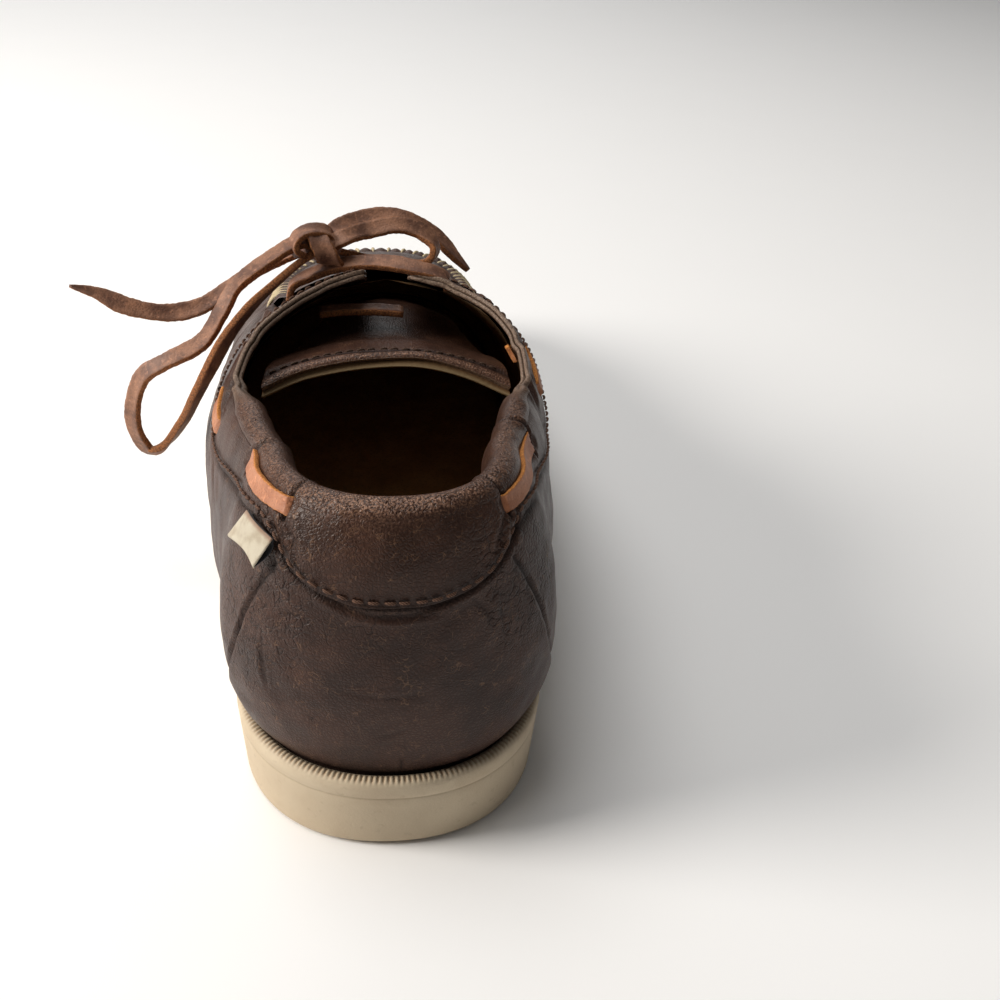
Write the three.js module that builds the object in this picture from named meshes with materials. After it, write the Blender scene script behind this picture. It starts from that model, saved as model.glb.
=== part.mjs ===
// A boat shoe for the left foot, men's EU 42, standing empty on its cup sole.
// Millimetres. +Z is up, +Y runs from heel to toe, +X is the inner side of the foot.
// The origin is on the floor, under the middle of the heel.

import * as THREE from 'three';

// ------------------------------------------------------------ driving sizes

const OUTER = -1;                  // side of the little toe
const INNER = 1;                   // side of the big toe
const GAP = 0.3;                   // between pieces that touch

const WALL = 2;                    // thickness of the upper's leather and lining
const HEEL_BACK = 35.5;            // from the origin to the back of the last
const TOE_START = 170;             // where the toe's round outline begins, at the ball
const TOE_LENGTH = 78;
const TOE_SKEW = 6;                // the toe points to the inner side
const TOE_FEATHER = 19;            // height of the last's lower edge at the toe
const HEEL_ROUND = 0.93;           // below 1 the outline is squarer than an ellipse
const TOE_ROUND = 0.9;
const TOE_FLAT = 0.3;              // the sides swell this much less at the tip of the toe
const PROFILE_POWER = 0.55;
const BELLY_RISE = 0.58;           // below 1 the sides swell most under half height
const HEEL_SWELL = 0.4;            // share of the swelling that is left at the back of the heel
const HEEL_FULL = 1.1;             // the back of the heel stands this much more upright
const COLLAR_LEAN = 4;             // the collar leans in by this much at its edge
const LEAN_HEIGHT = 12;            // starting this far below the edge
const LEAN_FRONT = 62;             // and not in front of this
const LEAN_FADE = 30;
const LEAN_BACK = 0.5;             // share of the lean that is left at the back of the heel
const INNER_FULL = 1.6;            // the instep is this much fuller on the inner side
const INSTEP = { y: 90, reach: 50 };

const THROAT_END = 116;            // front of the slot between the two facings
const THROAT_HALF = 7;
const COLLAR_END = 55;             // the slot can only be cut in front of this

const RIM_WIDTH = 4;               // the cup sole's rim stands this far outside the upper
const RIM_CHAMFER = 0.8;
const FOOT_CHAMFER = 1.2;
const SOLE_DRAFT = 1.4;
const CUP_DEPTH = 4;
const TUCK = 3.5;                  // the upper goes this far down into the cup
const INSOLE_THICKNESS = 3.2;

const APRON_EDGE = 0.8;            // share of the last's height where the moc seam runs
const APRON_THICKNESS = 1.5;
const APRON_BACK = 120;

const LACE_WIDTH = 5;
const LACE_THICKNESS = 2;
const WINDOW_THICKNESS = 1.6;      // the lace is pressed flat where it lies on the collar
const CORD_RADIUS = 1.8;           // a plain round stand-in for the folded leather lace

// Cross-sections of the last: half widths at its lower edge, the height of that edge,
// how far the sides swell, where the middle line runs and how full the section is.
const LAST = [
  { y: 0, outer: 33, inner: 32.5, feather: 20, belly: 9, middle: 0, full: 1.3 },
  { y: 30, outer: 35.5, inner: 34.5, feather: 19.5, belly: 9.5, middle: 0.5, full: 2.1 },
  { y: 60, outer: 39, inner: 37, feather: 18.5, belly: 9.5, middle: 1.5, full: 2.6 },
  { y: 88, outer: 42.5, inner: 41, feather: 17, belly: 9, middle: 2.5, full: 2.6 },
  { y: 115, outer: 45.5, inner: 44.5, feather: 16, belly: 6.5, middle: 3.5, full: 2.5 },
  { y: 142, outer: 47.5, inner: 46.5, feather: 15, belly: 4.5, middle: 3.5, full: 2.5 },
  { y: 170, outer: 47.5, inner: 47, feather: 15, belly: 3.5, middle: 3, full: 2.5 },
];

// Height of the last's ridge, which above the collar is only the top of its curves.
const RIDGE = [
  { y: 0, z: 132 },
  { y: 30, z: 124 },
  { y: 60, z: 105 },
  { y: 88, z: 90 },
  { y: 115, z: 79 },
  { y: 142, z: 69.5 },
  { y: 170, z: 61.5 },
  { y: 200, z: 55.5 },
  { y: 248, z: 51 },
];

// Height of the collar's edge along the shoe.
const TOP_LINE = [
  { y: -40, z: 83 },
  { y: -20, z: 81.4 },
  { y: 0, z: 78.6 },
  { y: 20, z: 75.2 },
  { y: 42, z: 73.2 },
  { y: 60, z: 77 },
  { y: 75, z: 82.5 },
  { y: 88, z: 88.5 },
  { y: 100, z: 120 },
];

// Underside of the sole: two flats on the floor, a shallow arch and the toe spring.
const GROUND = [
  { y: -41, z: 0.6 },
  { y: -32, z: 0 },
  { y: 42, z: 0 },
  { y: 66, z: 1.8 },
  { y: 88, z: 1.8 },
  { y: 112, z: 0 },
  { y: 188, z: 0 },
  { y: 222, z: 2.8 },
  { y: 253, z: 9 },
];

// Middle line of the tongue: free edge in the opening, front under the apron.
const TONGUE = [
  { y: 58, z: 74, half: 33 },
  { y: 64, z: 76, half: 32 },
  { y: 74, z: 74.5, half: 30 },
  { y: 86, z: 71.5, half: 26 },
  { y: 98, z: 71.5, half: 22 },
  { y: 106, z: 71.5, half: 20 },
  { y: 122, z: 67.5, half: 17 },
  { y: 138, z: 62.5, half: 15 },
];
const TONGUE_WALL = 2;
const TONGUE_FALL = 5;             // the tongue's sides lie this much lower than its middle
const TONGUE_CURVE = 4;            // and its free edge is this much further back at the sides
const TONGUE_CLEAR = 1.6;          // gap under the upper in the middle
const TONGUE_CLEAR_SIDES = 2.4;    // and this much more at its sides

// Section of the collar's padding: how far inside the upper's outer face, and how high.
const PAD_SKIN = 3.3;
const PAD_SECTION = [
  { inward: PAD_SKIN, rise: -26 },
  { inward: PAD_SKIN, rise: -17 },
  { inward: PAD_SKIN, rise: -8 },
  { inward: PAD_SKIN, rise: 0.4 },
  { inward: 4, rise: 1.6 },
  { inward: 5.5, rise: 2 },
  { inward: 6.9, rise: 0.6 },
  { inward: 7.3, rise: -3.4 },
  { inward: 6.9, rise: -9 },
  { inward: 5.8, rise: -17 },
  { inward: 4.2, rise: -25 },
];
const PAD_FRONT = 50;              // the padding ends in front of the ankle
const PAD_TAPER = 22;              // and gets thinner over this length
const PAD_THIN = 0.75;

// --------------------------------------------------------- numbers and curves

// Reads a column of a table at a place in between its rows, without overshoot.
function column(table, key, at) {
  const last = table.length - 1;
  const y = Math.min(Math.max(at, table[0].y), table[last].y);
  let i = 0;
  while (i < last - 1 && table[i + 1].y <= y) i += 1;
  const rise = (j) => (table[j + 1][key] - table[j][key]) / (table[j + 1].y - table[j].y);
  const slope = (j) => {
    if (j === 0 || j === last) return 0;
    const before = rise(j - 1);
    const after = rise(j);
    return before * after <= 0 ? 0 : (2 * before * after) / (before + after);
  };
  const step = table[i + 1].y - table[i].y;
  const u = (y - table[i].y) / step;
  return table[i][key] * (1 + 2 * u) * (1 - u) ** 2 + slope(i) * step * u * (1 - u) ** 2
    + table[i + 1][key] * u * u * (3 - 2 * u) + slope(i + 1) * step * u * u * (u - 1);
}

function range(count, from = 0, to = 1) {
  return Array.from({ length: count }, (_, i) => from + ((to - from) * i) / (count - 1));
}

// Halves an interval until test changes from true to false.
function boundary(low, high, test) {
  let a = low;
  let b = high;
  for (let i = 0; i < 40; i += 1) {
    const middle = (a + b) / 2;
    if (test(middle)) a = middle;
    else b = middle;
  }
  return a;
}

// ------------------------------------------------------------- the last's form

const HEEL_SHARE = 0.18;           // stations run from 0 at the heel to 1 at the toe
const TOE_SHARE = 0.72;
const STATIONS = 50;               // on each side, the same for every body that follows the outline

const stationOf = (y) => HEEL_SHARE + (y / TOE_START) * (TOE_SHARE - HEEL_SHARE);

// One station of the outline: its centre, its edge point and the row of LAST it uses.
function station(side, s, grow = 0) {
  const widths = side === OUTER ? 'outer' : 'inner';
  if (s < HEEL_SHARE) {
    const angle = (s / HEEL_SHARE) * (Math.PI / 2);
    const half = column(LAST, widths, 0) + grow;
    const x = side * half * Math.sin(angle) ** HEEL_ROUND;
    const y = -(HEEL_BACK + grow) * Math.cos(angle) ** HEEL_ROUND;
    const swell = HEEL_SWELL + (1 - HEEL_SWELL) * Math.sin(angle) ** 2;
    return { centre: [0, 0], edge: [x, y], y: 0, toe: 0, behind: Math.cos(angle), swell };
  }
  if (s < TOE_SHARE) {
    const y = ((s - HEEL_SHARE) / (TOE_SHARE - HEEL_SHARE)) * TOE_START;
    const half = column(LAST, widths, y) + grow;
    return { centre: [column(LAST, 'middle', y), y], edge: [side * half, y], y, toe: 0, behind: 0, swell: 1 };
  }
  const angle = ((1 - s) / (1 - TOE_SHARE)) * (Math.PI / 2);
  const half = column(LAST, widths, TOE_START) + grow;
  const ahead = Math.cos(angle);
  const x = TOE_SKEW * ahead ** 2 + side * half * Math.sin(angle) ** TOE_ROUND;
  const y = TOE_START + (TOE_LENGTH + grow) * ahead ** TOE_ROUND;
  const centre = [column(LAST, 'middle', TOE_START), TOE_START];
  return { centre, edge: [x, y], y: TOE_START, toe: ahead, behind: 0, swell: 1 - TOE_FLAT * ahead };
}

// Height of the last's lower edge, or of the bed inside it at a share of the way out.
function featherHeight(place, out = 1) {
  const z = column(LAST, 'feather', place.y);
  return z + (TOE_FEATHER - z) * (place.toe * out) ** 2;
}

// How far the collar leans in there: not at all below it, nor in front of the ankle.
function lean(place, h) {
  const low = featherHeight(place);
  const z = low + (column(RIDGE, 'z', place.y) - low) * h;
  const above = (z - column(TOP_LINE, 'z', place.edge[1])) / LEAN_HEIGHT + 1;
  const near = Math.min(1, Math.max(0, (LEAN_FRONT - place.y) / LEAN_FADE));
  const share = Math.min(1, Math.max(0, above));
  const back = 1 - (1 - LEAN_BACK) * place.behind ** 2;
  return COLLAR_LEAN * back * share ** 2 * near ** 2 * (3 - 2 * near);
}

// A point of the upper's outer face, h being the share of the last's height.
function lastPoint(side, s, h) {
  const place = station(side, s);
  const instep = Math.max(0, 1 - ((place.y - INSTEP.y) / INSTEP.reach) ** 2);
  const extra = HEEL_FULL * place.behind ** 2 + (side === INNER ? INNER_FULL * instep : 0);
  const full = column(LAST, 'full', place.y) + extra;
  const share = Math.max(0, 1 - h ** full) ** PROFILE_POWER;
  const rise = Math.max(0, Math.sin(Math.PI * h ** BELLY_RISE));
  const belly = column(LAST, 'belly', place.y) * place.swell * rise - lean(place, h);
  const dx = place.edge[0] - place.centre[0];
  const dy = place.edge[1] - place.centre[1];
  const reach = share + belly / Math.hypot(dx, dy);
  const y = place.centre[1] + dy * reach;
  const low = featherHeight(place);
  return [place.centre[0] + dx * reach, y, low + (column(RIDGE, 'z', y) - low) * h];
}

// The direction that the outer face looks in at that point.
function lastNormal(side, s, h) {
  const step = 0.002;
  const slope = (ds, dh) => new THREE.Vector3(...lastPoint(side, s + ds, h + dh))
    .sub(new THREE.Vector3(...lastPoint(side, s - ds, h - dh)));
  return slope(step, 0).cross(slope(0, step)).multiplyScalar(side).normalize().toArray();
}

// The share of the height at which a station behind the toe reaches z.
function heightShare(place, z) {
  const low = featherHeight(place);
  return (z - low) / (column(RIDGE, 'z', place.y) - low);
}

// Where the upper stops: at the collar's edge, at the slot's edge or at the ridge.
function topShare(side, s) {
  const place = station(side, s);
  if (place.toe > 0 || place.y > THROAT_END) return 1;
  const collar = Math.min(1, heightShare(place, column(TOP_LINE, 'z', place.edge[1])));
  if (place.y < COLLAR_END) return collar;
  const round = Math.max(0, (place.y - THROAT_END + THROAT_HALF) / THROAT_HALF);
  const half = THROAT_HALF * Math.sqrt(Math.max(0, 1 - round ** 2));
  const slot = boundary(0, 1, (h) => Math.abs(lastPoint(side, s, h)[0] - place.centre[0]) > half);
  return Math.min(collar, slot);
}

// Height of the upper's outer face over a point between its sides, before the throat is cut.
function lastHeight(x, y) {
  const s = stationOf(y);
  const side = x < column(LAST, 'middle', y) ? OUTER : INNER;
  const h = boundary(0.45, 1, (share) => side * lastPoint(side, s, share)[0] > side * x);
  return lastPoint(side, s, h)[2];
}

// ------------------------------------------------------- from points to solids

const WELD_STEPS = 500;             // per millimetre: points in the same step are one point

// Joins points that coincide and drops the faces that vanish with them.
function weld(points, faces) {
  const seen = new Map();
  const kept = [];
  const index = points.map((p) => {
    const key = p.map((v) => Math.round(v * WELD_STEPS)).join(',');
    if (!seen.has(key)) {
      seen.set(key, kept.length);
      kept.push(p);
    }
    return seen.get(key);
  });
  const merged = faces
    .map((f) => f.map((i) => index[i]))
    .filter(([a, b, c]) => a !== b && b !== c && c !== a);
  return { points: kept, faces: merged };
}

// A grid of points as one welded surface, its faces turned to rows x columns.
function surface(rows, columns, pointAt) {
  const points = rows.flatMap((row) => columns.map((col) => pointAt(row, col)));
  const faces = [];
  const width = columns.length;
  for (let i = 0; i < rows.length - 1; i += 1) {
    for (let j = 0; j < width - 1; j += 1) {
      const a = i * width + j;
      faces.push([a, a + width, a + 1], [a + 1, a + width, a + width + 1]);
    }
  }
  return weld(points, faces);
}

function vertexNormals({ points, faces }) {
  const normals = points.map(() => new THREE.Vector3());
  for (const face of faces) {
    const [a, b, c] = face.map((i) => new THREE.Vector3(...points[i]));
    const normal = b.sub(a).cross(c.sub(a));
    for (const i of face) normals[i].add(normal);
  }
  return normals.map((n) => n.normalize().toArray());
}

function geometry({ points, faces }) {
  const shape = new THREE.BufferGeometry();
  shape.setAttribute('position', new THREE.Float32BufferAttribute(points.flat(), 3));
  shape.setIndex(faces.flat());
  shape.computeVertexNormals();
  return shape;
}

// Turns a surface's faces away from the origin, which makes a closed body's faces point out.
function facingOut({ points, faces }) {
  let volume = 0;
  for (const [a, b, c] of faces.map((f) => f.map((i) => new THREE.Vector3(...points[i])))) {
    volume += a.dot(b.cross(c));
  }
  return { points, faces: volume > 0 ? faces : faces.map(([a, b, c]) => [a, c, b]) };
}

// The solid between two copies of a sheet, moved out and in along its normals,
// which look away from the origin.
function thicken(openSheet, out, inward) {
  const sheet = facingOut(openSheet);
  const normals = vertexNormals(sheet);
  const moved = (by) => sheet.points.map((p, i) => p.map((v, k) => v + normals[i][k] * by));
  const count = sheet.points.length;
  const faces = sheet.faces.concat(sheet.faces.map(([a, b, c]) => [a + count, c + count, b + count]));
  const edges = new Set(sheet.faces.flatMap(([a, b, c]) => [`${a},${b}`, `${b},${c}`, `${c},${a}`]));
  for (const edge of edges) {
    const [a, b] = edge.split(',').map(Number);
    if (!edges.has(`${b},${a}`)) faces.push([b, a, a + count], [b, a + count, b + count]);
  }
  return facingOut({ points: moved(out).concat(moved(inward)), faces });
}

// Stations round the whole shoe: outer side from heel to toe, inner side back to the heel.
function stationsAround() {
  const half = range(STATIONS);
  return half.map((s) => [OUTER, s]).concat([...half].reverse().map((s) => [INNER, s]));
}

// A body whose section at each station runs from its middle line out and back to it.
function roundBody(section) {
  const size = section(OUTER, 0.5).length;
  const columns = Array.from({ length: size }, (_, i) => i);
  const body = surface(stationsAround(), columns, ([side, s], col) => section(side, s)[col]);
  return facingOut(body);
}

// Joins closed rings into a body and caps its two ends.
function loft(rings) {
  const size = rings[0].length;
  const points = rings.flat();
  const faces = [];
  for (let i = 0; i < rings.length - 1; i += 1) {
    for (let j = 0; j < size; j += 1) {
      const a = i * size + j;
      const b = i * size + ((j + 1) % size);
      faces.push([a, a + size, b], [b, a + size, b + size]);
    }
  }
  const cap = (ring, first, turned) => {
    const middle = points.length;
    points.push([0, 1, 2].map((k) => ring.reduce((sum, p) => sum + p[k], 0) / size));
    for (let j = 0; j < size; j += 1) {
      const a = first + j;
      const b = first + ((j + 1) % size);
      faces.push(turned ? [middle, b, a] : [middle, a, b]);
    }
  };
  cap(rings[0], 0, false);
  cap(rings[rings.length - 1], (rings.length - 1) * size, true);
  return facingOut({ points, faces });
}

// A flat strip along a smooth path; its broad face looks along a direction given at each point.
function strip(path, faces, width, thickness, steps) {
  const curve = new THREE.CatmullRomCurve3(path.map((p) => new THREE.Vector3(...p)));
  const looks = new THREE.CatmullRomCurve3(faces.map((p) => new THREE.Vector3(...p)));
  const bevel = 0.3 * thickness;
  const section = [
    [width / 2, -thickness / 2 + bevel],
    [width / 2, thickness / 2 - bevel],
    [width / 2 - bevel, thickness / 2],
    [-width / 2 + bevel, thickness / 2],
    [-width / 2, thickness / 2 - bevel],
    [-width / 2, -thickness / 2 + bevel],
    [-width / 2 + bevel, -thickness / 2],
    [width / 2 - bevel, -thickness / 2],
  ];
  const rings = range(steps).map((t) => {
    const at = curve.getPointAt(t);
    const along = curve.getTangentAt(t);
    const face = looks.getPoint(curve.getUtoTmapping(t)).projectOnPlane(along).normalize();
    const across = along.clone().cross(face);
    return section.map(([a, b]) => at.clone().addScaledVector(across, a).addScaledVector(face, b).toArray());
  });
  return loft(rings);
}

// -------------------------------------------------------------------- sole

const lerp = (a, b, t) => a.map((v, k) => v + (b[k] - v) * t);

// The underside at a plan point, and the floor of the cup above it.
const groundPoint = ([x, y]) => [x, y, column(GROUND, 'z', y)];

function outsole() {
  return roundBody((side, s) => {
    const top = station(side, s, RIM_WIDTH);
    const cup = station(side, s, GAP);
    const rim = featherHeight(top);
    const foot = station(side, s, RIM_WIDTH - SOLE_DRAFT).edge;
    const tread = station(side, s, RIM_WIDTH - SOLE_DRAFT - FOOT_CHAMFER).edge;
    const centre = top.centre;
    const inside = [0, 0.5, 1].map((t) => [...lerp(centre, cup.edge, t), featherHeight(top, t) - CUP_DEPTH]);
    const under = [1, 0.66, 0.33, 0].map((t) => groundPoint(lerp(centre, tread, t)));
    const lowEdge = groundPoint(foot);
    return [
      ...inside,
      [...cup.edge, rim],
      [...station(side, s, RIM_WIDTH - RIM_CHAMFER).edge, rim],
      [...top.edge, rim - RIM_CHAMFER],
      [lowEdge[0], lowEdge[1], lowEdge[2] + FOOT_CHAMFER],
      ...under,
    ];
  });
}

function insole() {
  return roundBody((side, s) => {
    const edge = station(side, s, -WALL - GAP);
    const layer = (lift) => [0, 0.5, 1].map((t) => (
      [...lerp(edge.centre, edge.edge, t), featherHeight(edge, t) - CUP_DEPTH + lift]
    ));
    return [...layer(GAP + INSOLE_THICKNESS), ...layer(GAP).reverse()];
  });
}

// ------------------------------------------------------------------- upper

function upperSheet() {
  const tucked = -1;
  const columns = [tucked, ...range(10)];
  return surface(stationsAround(), columns, ([side, s], t) => {
    if (t === tucked) {
      const [x, y, z] = lastPoint(side, s, 0);
      return [x, y, z - TUCK];
    }
    const top = topShare(side, s);
    // Rows crowd towards the ridge, where the section bends most.
    const h = top > 0.85 ? Math.sin(t * Math.asin(top)) : t * top;
    return lastPoint(side, s, h);
  });
}

function collarPad() {
  const sideStations = range(14, 0, stationOf(PAD_FRONT));
  const places = [...sideStations].reverse().map((s) => [OUTER, s])
    .concat(sideStations.slice(1).map((s) => [INNER, s]));
  return loft(places.map(([side, s]) => {
    const place = station(side, s);
    const edge = column(TOP_LINE, 'z', place.edge[1]);
    const toFront = Math.max(0, (place.edge[1] - PAD_FRONT + PAD_TAPER) / PAD_TAPER);
    const size = 1 - PAD_THIN * toFront ** 2;
    return PAD_SECTION.map(({ inward, rise }) => {
      const z = edge + rise * size;
      const [x, y] = lastPoint(side, s, heightShare(place, Math.min(z, edge)));
      const dx = x - place.centre[0];
      const dy = y - place.centre[1];
      const length = Math.hypot(dx, dy);
      const keep = 1 - (PAD_SKIN + (inward - PAD_SKIN) * size) / length;
      return [place.centre[0] + dx * keep, place.centre[1] + dy * keep, z];
    });
  }));
}

function tongue() {
  const front = TONGUE[TONGUE.length - 1].y;
  const back = TONGUE[0].y + TONGUE_CURVE;
  const sheet = surface(range(15, back, front), range(13, -1, 1), (row, u) => {
    const y = row - TONGUE_CURVE * u * u * ((front - row) / (front - back));
    const x = column(LAST, 'middle', y) + u * column(TONGUE, 'half', y);
    const free = column(TONGUE, 'z', y) - TONGUE_FALL * u * u;
    const under = lastHeight(x, y) - WALL - TONGUE_CLEAR - TONGUE_CLEAR_SIDES * u * u;
    return [x, y, Math.min(free, under)];
  });
  return thicken(sheet, 0, -TONGUE_WALL);
}

// The moc toe's plug, a second layer that stands proud of the vamp.
function apron() {
  const back = stationOf(APRON_BACK);
  const half = range(20, back, 1);
  const rows = half.map((s) => [OUTER, s]).concat([...half].reverse().map((s) => [INNER, s]));
  const sheet = surface(rows, range(6), ([side, s], t) => {
    const from = Math.asin(APRON_EDGE);
    return lastPoint(side, s, Math.sin(from + t * (Math.PI / 2 - from)));
  });
  return thicken(sheet, GAP + APRON_THICKNESS, GAP);
}

// ------------------------------------------------------------------- laces

// The station whose point at a share of the height lies at y, also round the heel.
function stationAt(side, y, h) {
  if (y >= 0) return stationOf(y);
  return boundary(0, HEEL_SHARE, (s) => lastPoint(side, s, h)[1] < y);
}

// Where the side lace shows: along the shoe, and how far under the collar's edge.
const WINDOWS = [
  { name: 'outer_rear', side: OUTER, fromY: -25.3, toY: 3.5, fromTop: 0.4, toTop: 1 },
  { name: 'outer_front', side: OUTER, fromY: 40, toY: 54.5, fromTop: 7, toTop: 7.8 },
  { name: 'inner_rear', side: INNER, fromY: -24, toY: 16, fromTop: 1.4, toTop: 2 },
  { name: 'inner_front', side: INNER, fromY: 53, toY: 69, fromTop: 5.6, toTop: 6.6 },
];

// A lace window: a strip that lies on the upper between two slits.
function laceWindow({ side, fromY, toY, fromTop, toTop }) {
  const lift = WINDOW_THICKNESS / 2 + GAP + 0.1;
  const places = range(7).map((t) => {
    const s = stationAt(side, fromY + (toY - fromY) * t, 0.5);
    const place = station(side, s);
    const below = fromTop + (toTop - fromTop) * t;
    const h = heightShare(place, column(TOP_LINE, 'z', place.edge[1]) - below);
    const face = lastNormal(side, s, h);
    const at = lastPoint(side, s, h).map((v, k) => v + face[k] * lift);
    return { at, face };
  });
  return strip(places.map(({ at }) => at), places.map(({ face }) => face), LACE_WIDTH, WINDOW_THICKNESS, 13);
}

// The strand over the slot, from one top eyelet to the other, under the knot.
function laceBar() {
  const path = [
    [-24, 96, 82],
    [-19, 96, 85],
    [-12, 95, 88],
    [-4, 93, 90],
    [4, 91.5, 90.3],
    [11, 90, 89.4],
    [16, 89.6, 88.4],
    [19, 89.5, 87.6],
  ];
  const look = [0, 0.35, 1];
  return strip(path, path.map(() => look), LACE_WIDTH, LACE_THICKNESS, 15);
}

// The strand that crosses inside, between the facings and the tongue.
function laceUnderBar() {
  const path = [
    [-16, 90.5, 76],
    [-8, 90.5, 77],
    [0, 90, 77.1],
    [7, 90, 76.5],
  ];
  return strip(path, path.map(() => [0, 0, 1]), LACE_WIDTH, LACE_THICKNESS, 9);
}

function cord(points, steps) {
  const curve = new THREE.CatmullRomCurve3(points.map((p) => new THREE.Vector3(...p)));
  const section = new THREE.Shape(
    range(9, 0, 2 * Math.PI).slice(0, 8).map((a) => new THREE.Vector2(
      CORD_RADIUS * Math.cos(a),
      CORD_RADIUS * Math.sin(a),
    )),
  );
  return new THREE.ExtrudeGeometry(section, { steps, extrudePath: curve, bevelEnabled: false });
}

const KNOT = { x: -15, y: 96, z: 93.2, wide: 9, deep: 8, high: 7.5 };

// Routes of the bow, all starting at the knot. The loops come back to it.
const LOOP_LEFT = [
  [-20.3, 95.2, 95.5],
  [-31, 90, 91],
  [-39, 86, 85.5],
  [-43, 82, 79.5],
  [-48, 76, 73.5],
  [-58, 74, 68.5],
  [-64.5, 76, 63.5],
  [-68.5, 78, 53.5],
  [-69, 80, 44.5],
  [-66, 82, 37],
  [-61.5, 80, 40],
  [-55, 75, 50],
  [-49.5, 68, 62],
  [-45.5, 66, 70],
  [-41, 70, 77],
  [-35.5, 78, 82],
  [-28.5, 87, 86],
  [-20.3, 93.6, 90.8],
];

const LOOP_RIGHT = [
  [-9.6, 95.5, 96.2],
  [-3, 101, 96.5],
  [6, 103, 97.5],
  [13, 103, 95.5],
  [16.5, 101, 91.5],
  [14.5, 99.5, 88.2],
  [8, 100, 87.4],
  [-1, 100.5, 88.2],
  [-9.2, 98.6, 90.6],
];

const END_LEFT = [
  [-20.2, 98.6, 92],
  [-32.5, 99, 86.5],
  [-41.5, 99, 80],
  [-50, 95, 76],
  [-59, 94, 74.5],
  [-70, 94, 76.5],
  [-78, 95, 80],
  [-85, 95, 82],
];

const END_RIGHT = [
  [-12, 100.9, 96.5],
  [-6, 107, 97.4],
  [1, 110, 98],
  [9, 110, 96.8],
  [17, 110, 92.5],
  [23.5, 108, 86],
  [27, 107, 82.5],
];

// --------------------------------------------------------------------- tab

// A folded woven label, caught in the seam under the collar band.
const TAB = { fromY: -25.5, toY: -14.5, slant: 0.5, top: 75.2, drop: 6.2, thickness: 1.4, flare: 1.2 };

function sideTab() {
  const ys = [TAB.fromY, (TAB.fromY + TAB.toY) / 2, TAB.toY];
  const near = GAP + 0.2;
  const far = near + TAB.thickness;
  const rings = ys.map((y) => {
    const at = (down, off) => {
      const s = stationAt(OUTER, y + TAB.slant * down, 0.45);
      const z = TAB.top - TAB.drop * down;
      const [x, back] = lastPoint(OUTER, s, heightShare(station(OUTER, s), z));
      const reach = 1 + (off + TAB.flare * down) / Math.hypot(x, back);
      return [x * reach, back * reach, z];
    };
    return [at(0, near), at(0, far), at(1, far), at(1, near)];
  });
  return loft(rings);
}

// ----------------------------------------------------------------- assembly

const LEATHER = { color: 0x3f2a22, roughness: 0.5 };
const LEATHER_DARK = { color: 0x32211b, roughness: 0.55 };
const LACE_TAN = { color: 0xa8683c, roughness: 0.7 };
const LACE_BROWN = { color: 0x7a4f38, roughness: 0.7 };
const RUBBER = { color: 0xb9a788, roughness: 0.75 };
const FOOTBED = { color: 0x8a6a4a, roughness: 0.8 };
const CLOTH = { color: 0xc9c0ac, roughness: 0.9 };

const shoe = new THREE.Group();

function add(name, shape, look) {
  const body = shape instanceof THREE.BufferGeometry ? shape : geometry(shape);
  const mesh = new THREE.Mesh(body, new THREE.MeshStandardMaterial({ ...look, metalness: 0 }));
  mesh.name = name;
  shoe.add(mesh);
  return mesh;
}

add('outsole', outsole(), RUBBER);
add('insole', insole(), FOOTBED);
add('upper', thicken(upperSheet(), 0, -WALL), LEATHER);
add('collar_pad', collarPad(), LEATHER);
add('tongue', tongue(), LEATHER_DARK);
add('apron', apron(), LEATHER);

add('lace_bar_top', laceBar(), LACE_BROWN);
add('lace_bar_under', laceUnderBar(), LACE_BROWN);
for (const row of WINDOWS) add(`lace_window_${row.name}`, laceWindow(row), LACE_TAN);

const knot = add('lace_knot', new THREE.SphereGeometry(0.5, 14, 8), LACE_BROWN);
knot.position.set(KNOT.x, KNOT.y, KNOT.z);
knot.scale.set(KNOT.wide, KNOT.deep, KNOT.high);
add('lace_loop_left', cord(LOOP_LEFT, 38), LACE_BROWN);
add('lace_loop_right', cord(LOOP_RIGHT, 20), LACE_BROWN);
add('lace_end_left', cord(END_LEFT, 16), LACE_BROWN);
add('lace_end_right', cord(END_RIGHT, 12), LACE_BROWN);

add('side_tab', sideTab(), CLOTH);

export default shoe;
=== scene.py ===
"""A boat shoe for the left foot, men's EU 42, standing empty on its cup sole.

Metres. +Z is up, +Y runs from heel to toe, +X is the inner side of the foot.
The origin is on the floor, under the middle of the heel.
"""

import math

import bmesh
import bpy
import numpy as np
from mathutils import Matrix, Vector


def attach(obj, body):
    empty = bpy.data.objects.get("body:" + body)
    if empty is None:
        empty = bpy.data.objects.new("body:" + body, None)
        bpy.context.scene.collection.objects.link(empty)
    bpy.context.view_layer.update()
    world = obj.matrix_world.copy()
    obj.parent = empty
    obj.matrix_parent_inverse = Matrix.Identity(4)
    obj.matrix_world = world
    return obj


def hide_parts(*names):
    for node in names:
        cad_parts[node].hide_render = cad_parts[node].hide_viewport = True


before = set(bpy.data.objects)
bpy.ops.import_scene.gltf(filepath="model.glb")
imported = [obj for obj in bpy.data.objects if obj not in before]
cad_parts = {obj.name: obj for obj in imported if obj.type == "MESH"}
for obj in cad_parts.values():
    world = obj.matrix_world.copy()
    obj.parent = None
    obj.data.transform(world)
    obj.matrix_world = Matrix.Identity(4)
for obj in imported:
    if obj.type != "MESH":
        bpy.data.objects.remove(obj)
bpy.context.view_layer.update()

# ------------------------------------------------------------------ camera

CAMERA_AT = (-0.00925, -0.23085, 0.2094)
LOOKS_AT = (0.02918, 0.03, 0.04964)
CAMERA_ROLL = 0.0568               # radians
LENS = 43.2                        # for a sensor 36 wide


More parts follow.
